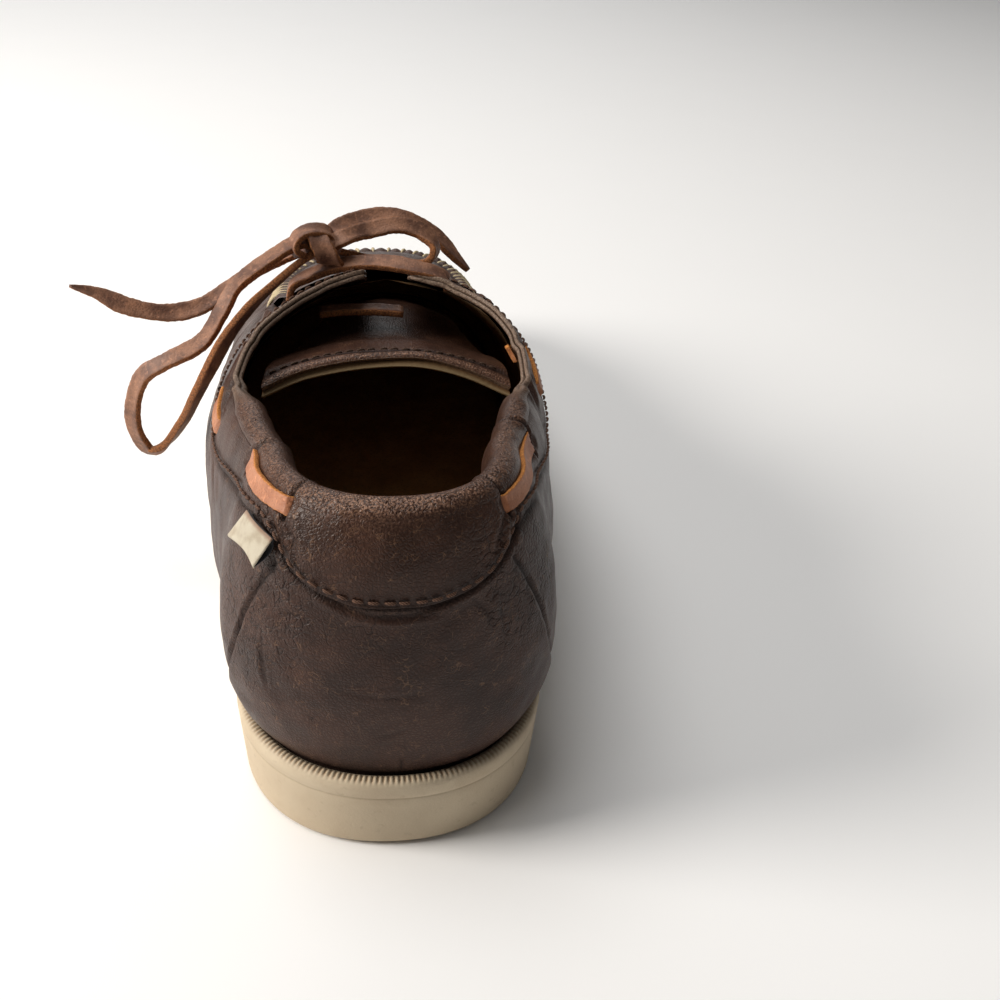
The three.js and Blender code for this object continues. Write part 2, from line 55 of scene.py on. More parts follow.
def add_camera():
    data = bpy.data.cameras.new("camera")
    data.lens = LENS
    data.sensor_width = 36.0
    data.clip_start = 0.01
    camera = bpy.data.objects.new("camera", data)
    bpy.context.collection.objects.link(camera)
    gaze = Vector(LOOKS_AT) - Vector(CAMERA_AT)
    turn = gaze.to_track_quat("-Z", "Y").to_matrix().to_4x4()
    turn = turn @ Matrix.Rotation(CAMERA_ROLL, 4, "Z")
    camera.matrix_world = Matrix.Translation(CAMERA_AT) @ turn
    bpy.context.scene.camera = camera


# --------------------------------------------------- routes of the loose lace

LACE_WIDTH = 0.005
LACE_THICKNESS = 0.0019

# Each row is a point of the middle line and the way the grain side looks there.
LOOP_LEFT = [
    ((-0.0203, 0.0952, 0.0955), (-0.3, -0.5, 0.8)),
    ((-0.031, 0.09, 0.091), (-0.4, -0.4, 0.8)),
    ((-0.039, 0.086, 0.0855), (-0.6, -0.5, 0.6)),
    ((-0.043, 0.082, 0.0795), (-0.6, -0.6, 0.5)),
    ((-0.048, 0.076, 0.0735), (-0.4, -0.6, 0.7)),
    ((-0.058, 0.074, 0.0685), (-0.3, -0.6, 0.8)),
    ((-0.0645, 0.076, 0.0635), (-0.5, -0.7, 0.6)),
    ((-0.0685, 0.078, 0.0535), (-0.6, -0.8, 0.2)),
    ((-0.069, 0.08, 0.0445), (-0.6, -0.8, 0.0)),
    ((-0.066, 0.082, 0.037), (-0.2, -0.6, -0.7)),
    ((-0.0615, 0.08, 0.04), (0.7, -0.3, -0.6)),
    ((-0.055, 0.075, 0.05), (0.8, -0.5, -0.3)),
    ((-0.0495, 0.068, 0.062), (0.8, -0.5, -0.3)),
    ((-0.0455, 0.066, 0.07), (0.8, -0.6, -0.2)),
    ((-0.041, 0.07, 0.077), (0.7, -0.6, -0.3)),
    ((-0.0355, 0.078, 0.082), (0.6, -0.6, -0.5)),
    ((-0.0285, 0.087, 0.086), (0.4, -0.5, -0.7)),
    ((-0.0203, 0.0936, 0.0908), (0.2, -0.4, -0.8)),
]

LOOP_RIGHT = [
    ((-0.0096, 0.0955, 0.0962), (0.0, -0.6, 0.8)),
    ((-0.003, 0.101, 0.0965), (0.0, -0.7, 0.7)),
    ((0.006, 0.103, 0.0975), (0.1, -0.7, 0.7)),
    ((0.013, 0.103, 0.0955), (0.5, -0.6, 0.5)),
    ((0.0165, 0.101, 0.0915), (0.9, -0.4, 0.0)),
    ((0.0145, 0.0995, 0.0882), (0.3, -0.3, -0.9)),
    ((0.008, 0.1, 0.0874), (-0.1, -0.3, -1.0)),
    ((-0.001, 0.1005, 0.0882), (0.0, -0.4, -0.9)),
    ((-0.0092, 0.0986, 0.0906), (0.0, -0.4, -0.9)),
]

END_LEFT = [
    ((-0.0202, 0.0986, 0.092), (-0.4, -0.4, 0.8)),
    ((-0.0325, 0.099, 0.0865), (-0.3, -0.5, 0.8)),
    ((-0.0415, 0.099, 0.08), (-0.3, -0.6, 0.7)),
    ((-0.05, 0.095, 0.076), (-0.2, -0.8, 0.6)),
    ((-0.059, 0.094, 0.0745), (0.0, -0.9, 0.5)),
    ((-0.07, 0.094, 0.0765), (0.1, -0.9, 0.5)),
    ((-0.078, 0.095, 0.08), (0.2, -0.9, 0.5)),
    ((-0.085, 0.095, 0.082), (0.2, -0.8, 0.5)),
]

END_RIGHT = [
    ((-0.012, 0.1009, 0.0965), (-0.1, -0.7, 0.7)),
    ((-0.006, 0.107, 0.0974), (0.0, -0.7, 0.7)),
    ((0.001, 0.11, 0.098), (0.0, -0.7, 0.7)),
    ((0.009, 0.11, 0.0968), (0.3, -0.6, 0.7)),
    ((0.017, 0.11, 0.0925), (0.6, -0.5, 0.6)),
    ((0.0235, 0.108, 0.086), (0.8, -0.4, 0.4)),
    ((0.027, 0.107, 0.0825), (0.8, -0.4, 0.4)),
]

BAR_TOP = [
    ((-0.025, 0.096, 0.078), (-0.8, 0.0, 0.6)),
    ((-0.0238, 0.096, 0.0822), (-0.7, 0.0, 0.7)),
    ((-0.019, 0.096, 0.085), (-0.2, -0.3, 1.0)),
    ((-0.012, 0.095, 0.088), (0.0, -0.3, 1.0)),
    ((-0.004, 0.093, 0.09), (0.0, -0.4, 1.0)),
    ((0.004, 0.0915, 0.0903), (0.0, -0.5, 1.0)),
    ((0.011, 0.09, 0.0894), (0.1, -0.5, 1.0)),
    ((0.0165, 0.0896, 0.088), (0.3, -0.4, 1.0)),
    ((0.0192, 0.0896, 0.0862), (0.8, -0.2, 0.6)),
    ((0.0192, 0.0897, 0.0838), (0.9, 0.0, 0.3)),
]

BAR_UNDER = [
    ((-0.0165, 0.0905, 0.076), (0.0, 0.0, 1.0)),
    ((-0.01, 0.0905, 0.0768), (0.0, 0.0, 1.0)),
    ((-0.0045, 0.09, 0.0771), (0.0, 0.0, 1.0)),
    ((0.0015, 0.09, 0.077), (0.0, 0.0, 1.0)),
    ((0.007, 0.09, 0.0764), (0.0, 0.0, 1.0)),
]

KNOT_AT = (-0.0152, 0.096, 0.093)


def into_knot(route, both):
    """The route with its end, or both ends, carried on into the knot."""
    inner = [tuple((a + b) / 2 for a, b in zip(route[end][0], KNOT_AT)) for end in (0, -1)]
    last = [(inner[1], route[-1][1])] if both else []
    return [(inner[0], route[0][1])] + route + last


# --------------------------------------------------------- form of the last

OUTER = -1                         # side of the little toe
INNER = 1                          # side of the big toe

HEEL_BACK = 0.0355                 # from the middle of the heel to its back
TOE_START = 0.17                   # the fan of the toe begins here
TOE_LENGTH = 0.078                 # and reaches this far on
TOE_SKEW = 0.006                   # the tip leans this far to the inner side
TOE_FEATHER = 0.019                # height of the feather edge at the tip
PROFILE_POWER = 0.55               # how the cross-sections close over the top
BELLY_RISE = 0.58                  # below 1, so the sides are fullest under half height
HEEL_SWELL = 0.4                   # share of that fullness at the back of the heel
HEEL_FULL = 1.1                    # the heel stands this much squarer
COLLAR_LEAN = 0.004                # the collar leans in by this
LEAN_HEIGHT = 0.012                # from this far under its edge
LEAN_FRONT = 0.062                 # and not in front of here
LEAN_FADE = 0.03                   # length over which it fades in
INNER_FULL = 1.6                   # the instep is this much squarer on the inner side
INSTEP_Y, INSTEP_REACH = 0.09, 0.05
HEEL_SHARE = 0.18                  # share of the outline that the fan of the heel takes
TOE_SHARE = 0.72                   # share at which the fan of the toe begins
HEEL_ROUND = 0.93                  # 1 is an ellipse, less is squarer
TOE_ROUND = 0.9
TOE_FLAT = 0.3                     # the sides swell this much less at the tip of the toe
LEAN_BACK = 0.5                    # share of the lean that is left at the back of the heel

# Half widths, height of the feather edge, swell of the sides, middle line, squareness.
LAST = {
    "y": [0.0, 0.03, 0.06, 0.088, 0.115, 0.142, 0.17],
    "outer": [0.033, 0.0355, 0.039, 0.0425, 0.0455, 0.0475, 0.0475],
    "inner": [0.0325, 0.0345, 0.037, 0.041, 0.0445, 0.0465, 0.047],
    "feather": [0.02, 0.0195, 0.0185, 0.017, 0.016, 0.015, 0.015],
    "belly": [0.009, 0.0095, 0.0095, 0.009, 0.0065, 0.0045, 0.0035],
    "middle": [0.0, 0.0005, 0.0015, 0.0025, 0.0035, 0.0035, 0.003],
    "full": [1.3, 2.1, 2.6, 2.6, 2.5, 2.5, 2.5],
}
# Height of the closed last over its middle line.
RIDGE = {
    "y": [0.0, 0.03, 0.06, 0.088, 0.115, 0.142, 0.17, 0.2, 0.248],
    "z": [0.132, 0.124, 0.105, 0.09, 0.079, 0.0695, 0.0615, 0.0555, 0.051],
}
# Height of the collar's edge.
TOP_LINE = {
    "y": [-0.04, -0.02, 0.0, 0.02, 0.042, 0.06, 0.075, 0.088, 0.1],
    "z": [0.083, 0.0814, 0.0786, 0.0752, 0.0732, 0.077, 0.0825, 0.0885, 0.12],
}
# Underside of the sole: two flats on the floor, a low arch between them and the toe spring.
GROUND = {
    "y": [-0.041, -0.032, 0.042, 0.066, 0.088, 0.112, 0.188, 0.222, 0.253],
    "z": [0.0006, 0.0, 0.0, 0.0018, 0.0018, 0.0, 0.0, 0.0028, 0.009],
}
# Seam between the collar band and the quarters. At its front end it meets the moc seam.
BAND_SEAM = {
    "y": [-0.0355, -0.033, -0.03, -0.0275, -0.0245, -0.02, -0.012, 0.009, 0.024, 0.042, 0.07, 0.095,
          0.118],
    "z": [0.0658, 0.0674, 0.0697, 0.0726, 0.075, 0.0761, 0.0748, 0.069, 0.0652, 0.0625, 0.0628, 0.064,
          0.0654],
}
SEAM_FRONT = 0.118
SEAM_RISES_AT = 0.1
BAND_FRONT = 0.1205                # the facings end here
APRON_EDGE = 0.8                   # share of the last's height where the moc seam runs
SLOT_HALF = 0.007                  # half the gap between the two facings
COLLAR_END = 0.055                 # the collar ends and the facings begin

TUCK = 0.0035                      # the leather goes this far down into the cup
RIM_WIDTH = 0.004                  # the sole's rim stands this far outside the last
SOLE_DRAFT = 0.0014                # its wall draws in by this, down to the floor
CUP_DEPTH = 0.004                  # from the rim down to the cup's floor
BAND_PROUD = 0.0007                # the band lies this far above the quarters
PAD_FULL_TO = 0.03                 # the collar's padding tapers from here
PAD_GONE_AT = 0.054
PAD_SWELL = 0.0014                 # how far it pushes the band out


def hump(x, middle, width, power=2):
    """1 at the middle, falling to 0 on both sides of it."""
    return np.exp(-((x - middle) / width) ** power)


def ramp(x, start, stop):
    """0 before start, 1 after stop, and straight between."""
    return np.clip((x - start) / (stop - start), 0, 1)


def eased(share):
    return share * share * (3 - 2 * share)


def hermite(u, step, starts, stops, slopes_in, slopes_out):
    """A cubic from starts to stops, u being 0 to 1 on the way."""
    first = starts * (1 + 2 * u) * (1 - u) ** 2 + slopes_in * step * u * (1 - u) ** 2
    return first + stops * u * u * (3 - 2 * u) + slopes_out * step * u * u * (u - 1)


def column(table, key, at):
    """Reads a table between its rows, on a smooth curve that never overshoots them."""
    ys = np.array(table["y"])
    values = np.array(table[key])
    steps = np.diff(ys)
    rises = np.diff(values) / steps
    product = rises[:-1] * rises[1:]
    total = np.where(product > 0, rises[:-1] + rises[1:], 1.0)
    slopes = np.concatenate([[0.0], np.where(product > 0, 2 * product / total, 0.0), [0.0]])
    y = np.clip(at, ys[0], ys[-1])
    i = np.clip(np.searchsorted(ys, y, side="right") - 1, 0, len(steps) - 1)
    u = (y - ys[i]) / steps[i]
    return hermite(u, steps[i], values[i], values[i + 1], slopes[i], slopes[i + 1])


class Station:
    """Places on the outline of the last, s being 0 at the heel and 1 at the toe."""

    def __init__(self, side, s, grow=0.0):
        side, s = np.broadcast_arrays(np.asarray(side, float), np.asarray(s, float))
        self.side, self.s = side, s
        along = np.clip((s - HEEL_SHARE) / (TOE_SHARE - HEEL_SHARE), 0, 1)
        self.y = along * TOE_START
        widths = [column(LAST, key, self.y) for key in ("outer", "inner")]
        half = np.where(side < 0, widths[0], widths[1]) + grow
        heel = np.clip(s / HEEL_SHARE, 0, 1) * math.pi / 2
        toe = np.clip((1 - s) / (1 - TOE_SHARE), 0, 1) * math.pi / 2
        self.toe = np.where(s > TOE_SHARE, np.cos(toe), 0.0)
        round_off = np.sin(heel) ** HEEL_ROUND * np.sin(toe) ** TOE_ROUND
        self.behind = np.where(s < HEEL_SHARE, np.maximum(np.cos(heel), 0), 0.0)
        behind = self.behind ** HEEL_ROUND
        self.edge_x = side * half * round_off + TOE_SKEW * self.toe ** 2
        self.edge_y = self.y - (HEEL_BACK + grow) * behind + (TOE_LENGTH + grow) * self.toe ** TOE_ROUND
        self.centre_x = column(LAST, "middle", self.y)
        self.centre_y = self.y
        at_heel = HEEL_SWELL + (1 - HEEL_SWELL) * np.sin(heel) ** 2
        self.swell = np.where(s < HEEL_SHARE, at_heel, 1 - TOE_FLAT * self.toe)

    def feather(self, out=1.0):
        z = column(LAST, "feather", self.y)
        return z + (TOE_FEATHER - z) * (self.toe * out) ** 2

    def share_at(self, z):
        low = self.feather()
        return (z - low) / (column(RIDGE, "z", self.y) - low)

    def inside(self, share, z):
        """A point at a share of the way from the centre to the outline."""
        x = self.centre_x + (self.edge_x - self.centre_x) * share
        y = self.centre_y + (self.edge_y - self.centre_y) * share
        return np.stack([x, y, z + 0 * x], axis=-1)


def lean(place, h):
    """How far the collar leans in: not at all below it, nor in front of the ankle."""
    low = place.feather()
    z = low + (column(RIDGE, "z", place.y) - low) * h
    share = np.clip((z - column(TOP_LINE, "z", place.edge_y)) / LEAN_HEIGHT + 1, 0, 1)
    near = ramp(place.y, LEAN_FRONT, LEAN_FRONT - LEAN_FADE)
    return COLLAR_LEAN * (1 - (1 - LEAN_BACK) * place.behind ** 2) * share ** 2 * eased(near)


def last_point(place, h):
    """A point of the last's face, h being the share of its height."""
    h = np.clip(h, 0, 1)
    instep = np.maximum(0, 1 - ((place.y - INSTEP_Y) / INSTEP_REACH) ** 2)
    extra = HEEL_FULL * place.behind ** 2 + np.where(place.side > 0, INNER_FULL * instep, 0)
    full = column(LAST, "full", place.y) + extra
    share = np.maximum(0, 1 - h ** full) ** PROFILE_POWER
    rise = np.maximum(0, np.sin(math.pi * h ** BELLY_RISE))
    dx = place.edge_x - place.centre_x
    dy = place.edge_y - place.centre_y
    belly = column(LAST, "belly", place.y) * place.swell * rise - lean(place, h)
    reach = share + belly / np.hypot(dx, dy)
    y = place.centre_y + dy * reach
    low = place.feather()
    z = low + (column(RIDGE, "z", y) - low) * h
    return np.stack([place.centre_x + dx * reach, y, z], axis=-1)


def unit(v):
    return v / np.maximum(np.linalg.norm(v, axis=-1, keepdims=True), 1e-12)


def last_normal(side, s, h):
    """The direction that the last's face looks in, at the same places."""
    step = 0.002
    s_low, s_high = np.clip(s - step, 0.0005, 1), np.clip(s + step, 0, 0.9995)
    h_low, h_high = np.clip(h - step, 0, 1), np.clip(h + step, 0, 0.9995)
    along = last_point(Station(side, s_high), h) - last_point(Station(side, s_low), h)
    up = last_point(Station(side, s), h_high) - last_point(Station(side, s), h_low)
    return unit(np.cross(along, up) * np.asarray(side, float)[..., None])


def halving(low, high, test):
    """Where test turns from true to false, at many places at once."""
    a, b = low + 0 * high, high + 0 * low
    for _ in range(30):
        middle = (a + b) / 2
        holds = test(middle)
        a, b = np.where(holds, middle, a), np.where(holds, b, middle)
    return a


def station_of(y):
    return HEEL_SHARE + (y / TOE_START) * (TOE_SHARE - HEEL_SHARE)


def top_share(place):
    """Where the upper stops: at the collar's edge, the facing's edge or the ridge."""
    collar = np.minimum(1, place.share_at(column(TOP_LINE, "z", place.edge_y)))
    across = lambda h: np.abs(last_point(place, h)[..., 0] - place.centre_x) > SLOT_HALF
    slot = halving(np.zeros_like(place.y), np.ones_like(place.y), across)
    return np.where(place.y < COLLAR_END, collar, np.minimum(collar, slot))


def seam_share(place):
    """Height of the seam over the quarters, as a share of the last's height."""
    band = place.share_at(column(BAND_SEAM, "z", place.edge_y))
    return band + (APRON_EDGE - band) * ramp(place.y, SEAM_RISES_AT, SEAM_FRONT)


# ------------------------------------------------------------ lines and paths


def smooth(points, count):
    """A smooth line through the points, cut into even steps."""
    p = np.array(points, float)
    t = np.concatenate([[0], np.cumsum(np.linalg.norm(np.diff(p, axis=0), axis=1) ** 0.5)])
    slopes = np.empty_like(p)
    rise = np.diff(p, axis=0) / np.diff(t)[:, None]
    slopes[0], slopes[-1] = rise[0], rise[-1]
    before, after = np.diff(t)[:-1, None], np.diff(t)[1:, None]
    slopes[1:-1] = (rise[:-1] * after + rise[1:] * before) / (before + after)
    fine = np.linspace(0, t[-1], 24 * (len(p) - 1) + 1)
    i = np.clip(np.searchsorted(t, fine, side="right") - 1, 0, len(p) - 2)
    step = (t[i + 1] - t[i])[:, None]
    u = (fine - t[i])[:, None] / step
    return even(hermite(u, step, p[i], p[i + 1], slopes[i], slopes[i + 1]), count)


def lengths(line):
    return np.concatenate([[0], np.cumsum(np.linalg.norm(np.diff(line, axis=0), axis=1))])


def read_off(line, at, marks):
    """The line's points at the marks, at being the marks of its own points."""
    return np.stack([np.interp(marks, at, part) for part in np.transpose(line)], axis=-1)


def even(line, count):
    at = lengths(line)
    return read_off(line, at, np.linspace(0, at[-1], count))


class LastFace:
    """A fine table of the last's face, to lay lines and threads on it."""

    def __init__(self):
        s, h = np.meshgrid(np.linspace(0.002, 0.998, 260), np.linspace(0.0, 0.99, 90))
        s, h = s.ravel(), h.ravel()
        sides = [np.full(len(s), side) for side in (OUTER, INNER)]
        self.points = np.concatenate([last_point(Station(side, s), h) for side in sides])
        self.normals = np.concatenate([last_normal(side, s, h) for side in sides])

    def lay(self, line, lift=0.0):
        """The line moved onto the face, and the face's normals along it."""
        points, normals = [], []
        for p in np.atleast_2d(line):
            near = np.argsort(np.sum((self.points - p) ** 2, axis=1))[:4]
            q, n = self.points[near].mean(axis=0), unit(self.normals[near].mean(axis=0))
            points.append(p + n * (np.dot(q - p, n) + lift))
            normals.append(n)
        return np.array(points), np.array(normals)


FACE = LastFace()


def nearest(points, line):
    """For each point: how far it is from the line, and at what share of the line."""
    best = np.full(len(points), 1e9)
    share = np.zeros(len(points))
    at = lengths(line) / lengths(line)[-1]
    for k in range(len(line) - 1):
        a, d = line[k], line[k + 1] - line[k]
        t = np.clip((points - a) @ d / np.dot(d, d), 0, 1)
        gap = np.linalg.norm(points - a - t[:, None] * d, axis=1)
        closer = gap < best
        best = np.where(closer, gap, best)
        share = np.where(closer, at[k] + (at[k + 1] - at[k]) * t, share)
    return best, share


# -------------------------------------------------------- creases of the upper

# Points on the leather, depth of the trough, its half width, and how much painted shade lies in it.
CREASES = [
    # fold under the seam at the back of the heel
    ([(-0.015, -0.0338, 0.0672), (-0.0092, -0.036, 0.0648), (-0.001, -0.037, 0.0636),
      (0.0055, -0.0366, 0.0644), (0.0105, -0.0354, 0.066)], 0.0006, 0.0008, 0.7),
    # folds beside the counter seams
    ([(-0.0274, -0.0253, 0.0654), (-0.0309, -0.0232, 0.0573), (-0.035, -0.0192, 0.0441),
      (-0.0368, -0.015, 0.036)], 0.0005, 0.0006, 0.6),
    ([(-0.0184, -0.033, 0.0626), (-0.0225, -0.031, 0.0606), (-0.0252, -0.0293, 0.0583)],
     0.0003, 0.0007, 0.4),
    ([(-0.0279, -0.028, 0.0517), (-0.0282, -0.0283, 0.0468), (-0.0275, -0.0292, 0.04)],
     0.0003, 0.0006, 0.5),
    ([(0.0274, -0.0253, 0.0654), (0.0309, -0.0232, 0.0573), (0.035, -0.0192, 0.0441)], 0.0004, 0.0007, 0.5),
    ([(0.0147, -0.0337, 0.066), (0.018, -0.033, 0.062), (0.02, -0.0322, 0.057)], 0.0003, 0.0007, 0.3),
    # fine level lines over the counter, and the small notch above the sole
    ([(-0.0122, -0.037, 0.0448), (-0.0067, -0.0381, 0.044), (0.0008, -0.0385, 0.0436),
      (0.0069, -0.038, 0.0444)], 0.00015, 0.0006, 0.3),
    ([(-0.0057, -0.0379, 0.0322), (-0.002, -0.0383, 0.033), (0.0024, -0.0383, 0.0346)],
     0.00015, 0.0006, 0.35),
    ([(0.0008, -0.0372, 0.0255), (0.001, -0.0366, 0.0225), (0.0006, -0.0358, 0.0203)], 0.0004, 0.0006, 0.7),
    # side of the quarters, where the foot bends
    ([(-0.0455, 0.02, 0.056), (-0.045, 0.035, 0.06), (-0.044, 0.052, 0.061)],
     0.0005, 0.0014, 0.2),
    ([(-0.047, 0.06, 0.03), (-0.05, 0.072, 0.04), (-0.047, 0.082, 0.054)],
     0.0006, 0.0016, 0.2),
    ([(0.043, 0.058, 0.031), (0.046, 0.07, 0.041), (0.043, 0.082, 0.054)],
     0.0006, 0.0016, 0.2),
    ([(-0.05, 0.118, 0.024), (-0.05, 0.126, 0.036), (-0.044, 0.132, 0.05)],
     0.0008, 0.0015, 0.25),
    ([(-0.0505, 0.134, 0.026), (-0.049, 0.141, 0.038), (-0.043, 0.146, 0.048)],
     0.0006, 0.0014, 0.2),
    ([(0.048, 0.116, 0.024), (0.047, 0.125, 0.036), (0.041, 0.131, 0.051)],
     0.0008, 0.0015, 0.25),
    ([(0.049, 0.134, 0.025), (0.048, 0.141, 0.037), (0.042, 0.147, 0.048)],
     0.0006, 0.0014, 0.2),
    # collar band: wrinkles at the two back corners and in front of the ankle
    ([(-0.029, -0.021, 0.083), (-0.027, -0.026, 0.078), (-0.025, -0.029, 0.074)],
     0.0005, 0.0008, 0.35),
    ([(-0.031, -0.017, 0.082), (-0.03, -0.021, 0.077), (-0.0285, -0.024, 0.0735)],
     0.0005, 0.0007, 0.35),
    ([(-0.0255, -0.026, 0.084), (-0.023, -0.03, 0.079), (-0.0215, -0.033, 0.073)],
     0.0004, 0.0008, 0.25),
    ([(0.029, -0.021, 0.083), (0.0275, -0.025, 0.078), (0.0255, -0.029, 0.073)],
     0.0005, 0.0008, 0.35),
    ([(0.026, -0.026, 0.084), (0.024, -0.03, 0.079), (0.022, -0.033, 0.074)],
     0.0005, 0.0008, 0.3),
    ([(-0.038, 0.052, 0.078), (-0.0405, 0.046, 0.074), (-0.043, 0.042, 0.07)],
     0.0007, 0.001, 0.5),
    ([(0.035, 0.052, 0.078), (0.0375, 0.046, 0.074), (0.04, 0.042, 0.07)],
     0.0007, 0.001, 0.5),
    ([(-0.035, 0.066, 0.079), (-0.039, 0.062, 0.074), (-0.042, 0.06, 0.069)],
     0.0005, 0.001, 0.3),
    ([(0.033, 0.066, 0.079), (0.037, 0.062, 0.074), (0.0395, 0.06, 0.069)],
     0.0005, 0.001, 0.3),
]

# Counter seam, where the back panel is lapped over the quarters; the inner side mirrors it.
COUNTER_SEAM = [(-0.0244, -0.0268, 0.0705), (-0.0295, -0.024, 0.061), (-0.0325, -0.0222, 0.054),
                (-0.0344, -0.0201, 0.046), (-0.0369, -0.0141, 0.0338), (-0.0385, -0.007, 0.024)]

EYELETS = [(-0.0245, 0.096, 0.08), (0.019, 0.0895, 0.085)]
EYELET_RADIUS = 0.0026
EYELET_DEPTH = 0.0022

# Side windows of the lace: side, from, to, and how far under the collar's edge at each end.
WINDOWS = [
    ("window_outer_rear", OUTER, -0.0253, 0.0035, 0.0004, 0.001),
    ("window_outer_front", OUTER, 0.04, 0.0545, 0.007, 0.0078),
    ("window_inner_rear", INNER, -0.024, 0.016, 0.0014, 0.002),
    ("window_inner_front", INNER, 0.053, 0.069, 0.0056, 0.0066),
]
WINDOW_WIDTH = 0.004
SLIT_LENGTH = 0.0064
SLIT_SLANTS = (0.2, 0.9)           # how far the rear and front slits lean forward at the top
SLIT_DEPTH = 0.0009
SLIT_HALF = 0.0005                 # half its width


def pad_size(y):
    """1 where the collar is fully padded, 0 in front of the padding."""
    return 1 - eased(ramp(y, PAD_FULL_TO, PAD_GONE_AT))


def swelling(place, h, seam, top):
    """How far the padding pushes the band out."""
    share = np.clip((h - seam) / (top - seam + 1e-9), 0, 1)
    return PAD_SWELL * pad_size(place.edge_y) * np.sin(share * math.pi / 2) ** 2


def window_place(side, start, stop, count):
    y = np.linspace(start, stop, count)
    s = np.where(y >= 0, station_of(y), 0.0)
    for k in np.flatnonzero(y < 0):
        reach = lambda m, k=k: last_point(Station(side, m), 0.5 + 0 * m)[..., 1] < y[k]
        s[k] = halving(np.array(0.0), np.array(HEEL_SHARE), reach)
    return Station(np.full(count, side), s)


WINDOW_DIP = 0.001                 # how far the lace draws the padding in


def window_dip(y):
    return WINDOW_DIP * (0.3 + 0.7 * pad_size(y))


def window_line(side, start, stop, below_start, below_stop, count, down=0.0):
    """The middle of a side window, or a line beside it: on the last, and on the band over it."""
    place = window_place(side, start, stop, count)
    below = np.linspace(below_start, below_stop, count) + down
    h = place.share_at(column(TOP_LINE, "z", place.edge_y) - below)
    under = last_point(place, h)
    normal = last_normal(place.side, place.s, h)
    rise = BAND_PROUD + swelling(place, h, seam_share(place), top_share(place)) - window_dip(place.edge_y)
    return under, normal, under + normal * rise[:, None]


def slits():
    """The two slits of each window: a short line across the lace."""
    lines = []
    for _, *span in WINDOWS:
        points, normals, _ = window_line(*span, 9)
        for end, slant in zip((0, -1), SLIT_SLANTS):
            along = unit(points[-1] - points[0])
            across = unit(np.cross(along, normals[end]))
            up = across * np.sign(across[2])
            half = (up + slant * along) * SLIT_LENGTH / 2
            line = np.stack([points[end] - half, points[end], points[end] + half])
            lines.append(FACE.lay(line)[0])
    return lines


def lumps(p, size, seed):
    """A soft uneven swelling between -1 and 1, the same each time."""
    rng = np.random.default_rng(seed)
    total = np.zeros(len(p))
    for _ in range(7):
        way = unit(rng.normal(size=3))
        wave = 2 * math.pi / (size * rng.uniform(0.6, 1.6))
        total += np.sin(p @ way * wave + rng.uniform(0, 6.28))
    return total / 3.5


# Where the leather has folded into a net of fine wrinkles: middle and reach.
WRINKLED = [
    ((-0.0285, -0.025, 0.06), 0.015), ((0.0285, -0.025, 0.06), 0.013),
    ((-0.037, -0.01, 0.066), 0.013), ((-0.035, -0.019, 0.05), 0.013),
    ((-0.048, 0.08, 0.045), 0.02), ((0.045, 0.08, 0.045), 0.02),
    ((-0.025, -0.026, 0.076), 0.009), ((0.025, -0.026, 0.078), 0.012),
    ((0.0, 0.142, 0.07), 0.022),
]


def wrinkled(points):
    total = np.zeros(len(points))
    for middle, reach in WRINKLED:
        total += np.exp(-np.sum((points - np.array(middle)) ** 2, axis=1) / reach ** 2)
    return np.clip(total, 0, 1)


def fold(gap, share, width, ridge, aside):
    """Profile of a crease: a trough, a low ridge on both sides of it, and how it fades at its ends."""
    fade = np.sin(math.pi * np.clip(share, 0.02, 0.98)) ** 0.6
    beside = hump(gap, aside * width, width)
    return fade * (ridge * beside - hump(gap, 0, width)), fade, beside


def relief(points):
    """How far the leather stands off the last, the painted shade in its creases, and its wear, with painted
    highlights on the ridges beside the creases.
    """
    rise = 0.00035 * lumps(points, 0.03, 3) + 0.00012 * lumps(points, 0.009, 4)
    dark = np.zeros(len(points))
    wear_and_highlight = np.clip(lumps(points, 0.05, 5), 0, 1) * 0.3
    for path, depth, width, shade in CREASES:
        line = FACE.lay(smooth(path, 14))[0]
        low, high = line.min(axis=0) - 6 * width, line.max(axis=0) + 6 * width
        near = np.all((points > low) & (points < high), axis=1)
        gap, share = nearest(points[near], line)
        gap = gap * (1 + 0.25 * lumps(points[near], 0.006, 6))
        shape, fade, beside = fold(gap, share, width, 0.45, 2.1)
        rise[near] += depth * shape
        # painted shade along the crease's trough
        dark[near] += shade * fade * hump(gap, 0, 0.8 * width)
        # the low ridges beside a crease are painted lighter: painted highlight, partly wear
        wear_and_highlight[near] += 0.25 * fade * beside
    return rise, np.clip(dark, 0, 1), np.clip(wear_and_highlight, 0, 1)


# ------------------------------------------------------------- building meshes

WELD = 0.000004


def put(name, bm, finish):
    mesh = bpy.data.meshes.new(name)
    bm.to_mesh(mesh)
    bm.free()
    mesh.polygons.foreach_set("use_smooth", [True] * len(mesh.polygons))
    mesh.materials.append(finish)
    piece = bpy.data.objects.new(name, mesh)
    bpy.context.collection.objects.link(piece)
    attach(piece, "root")
    return piece


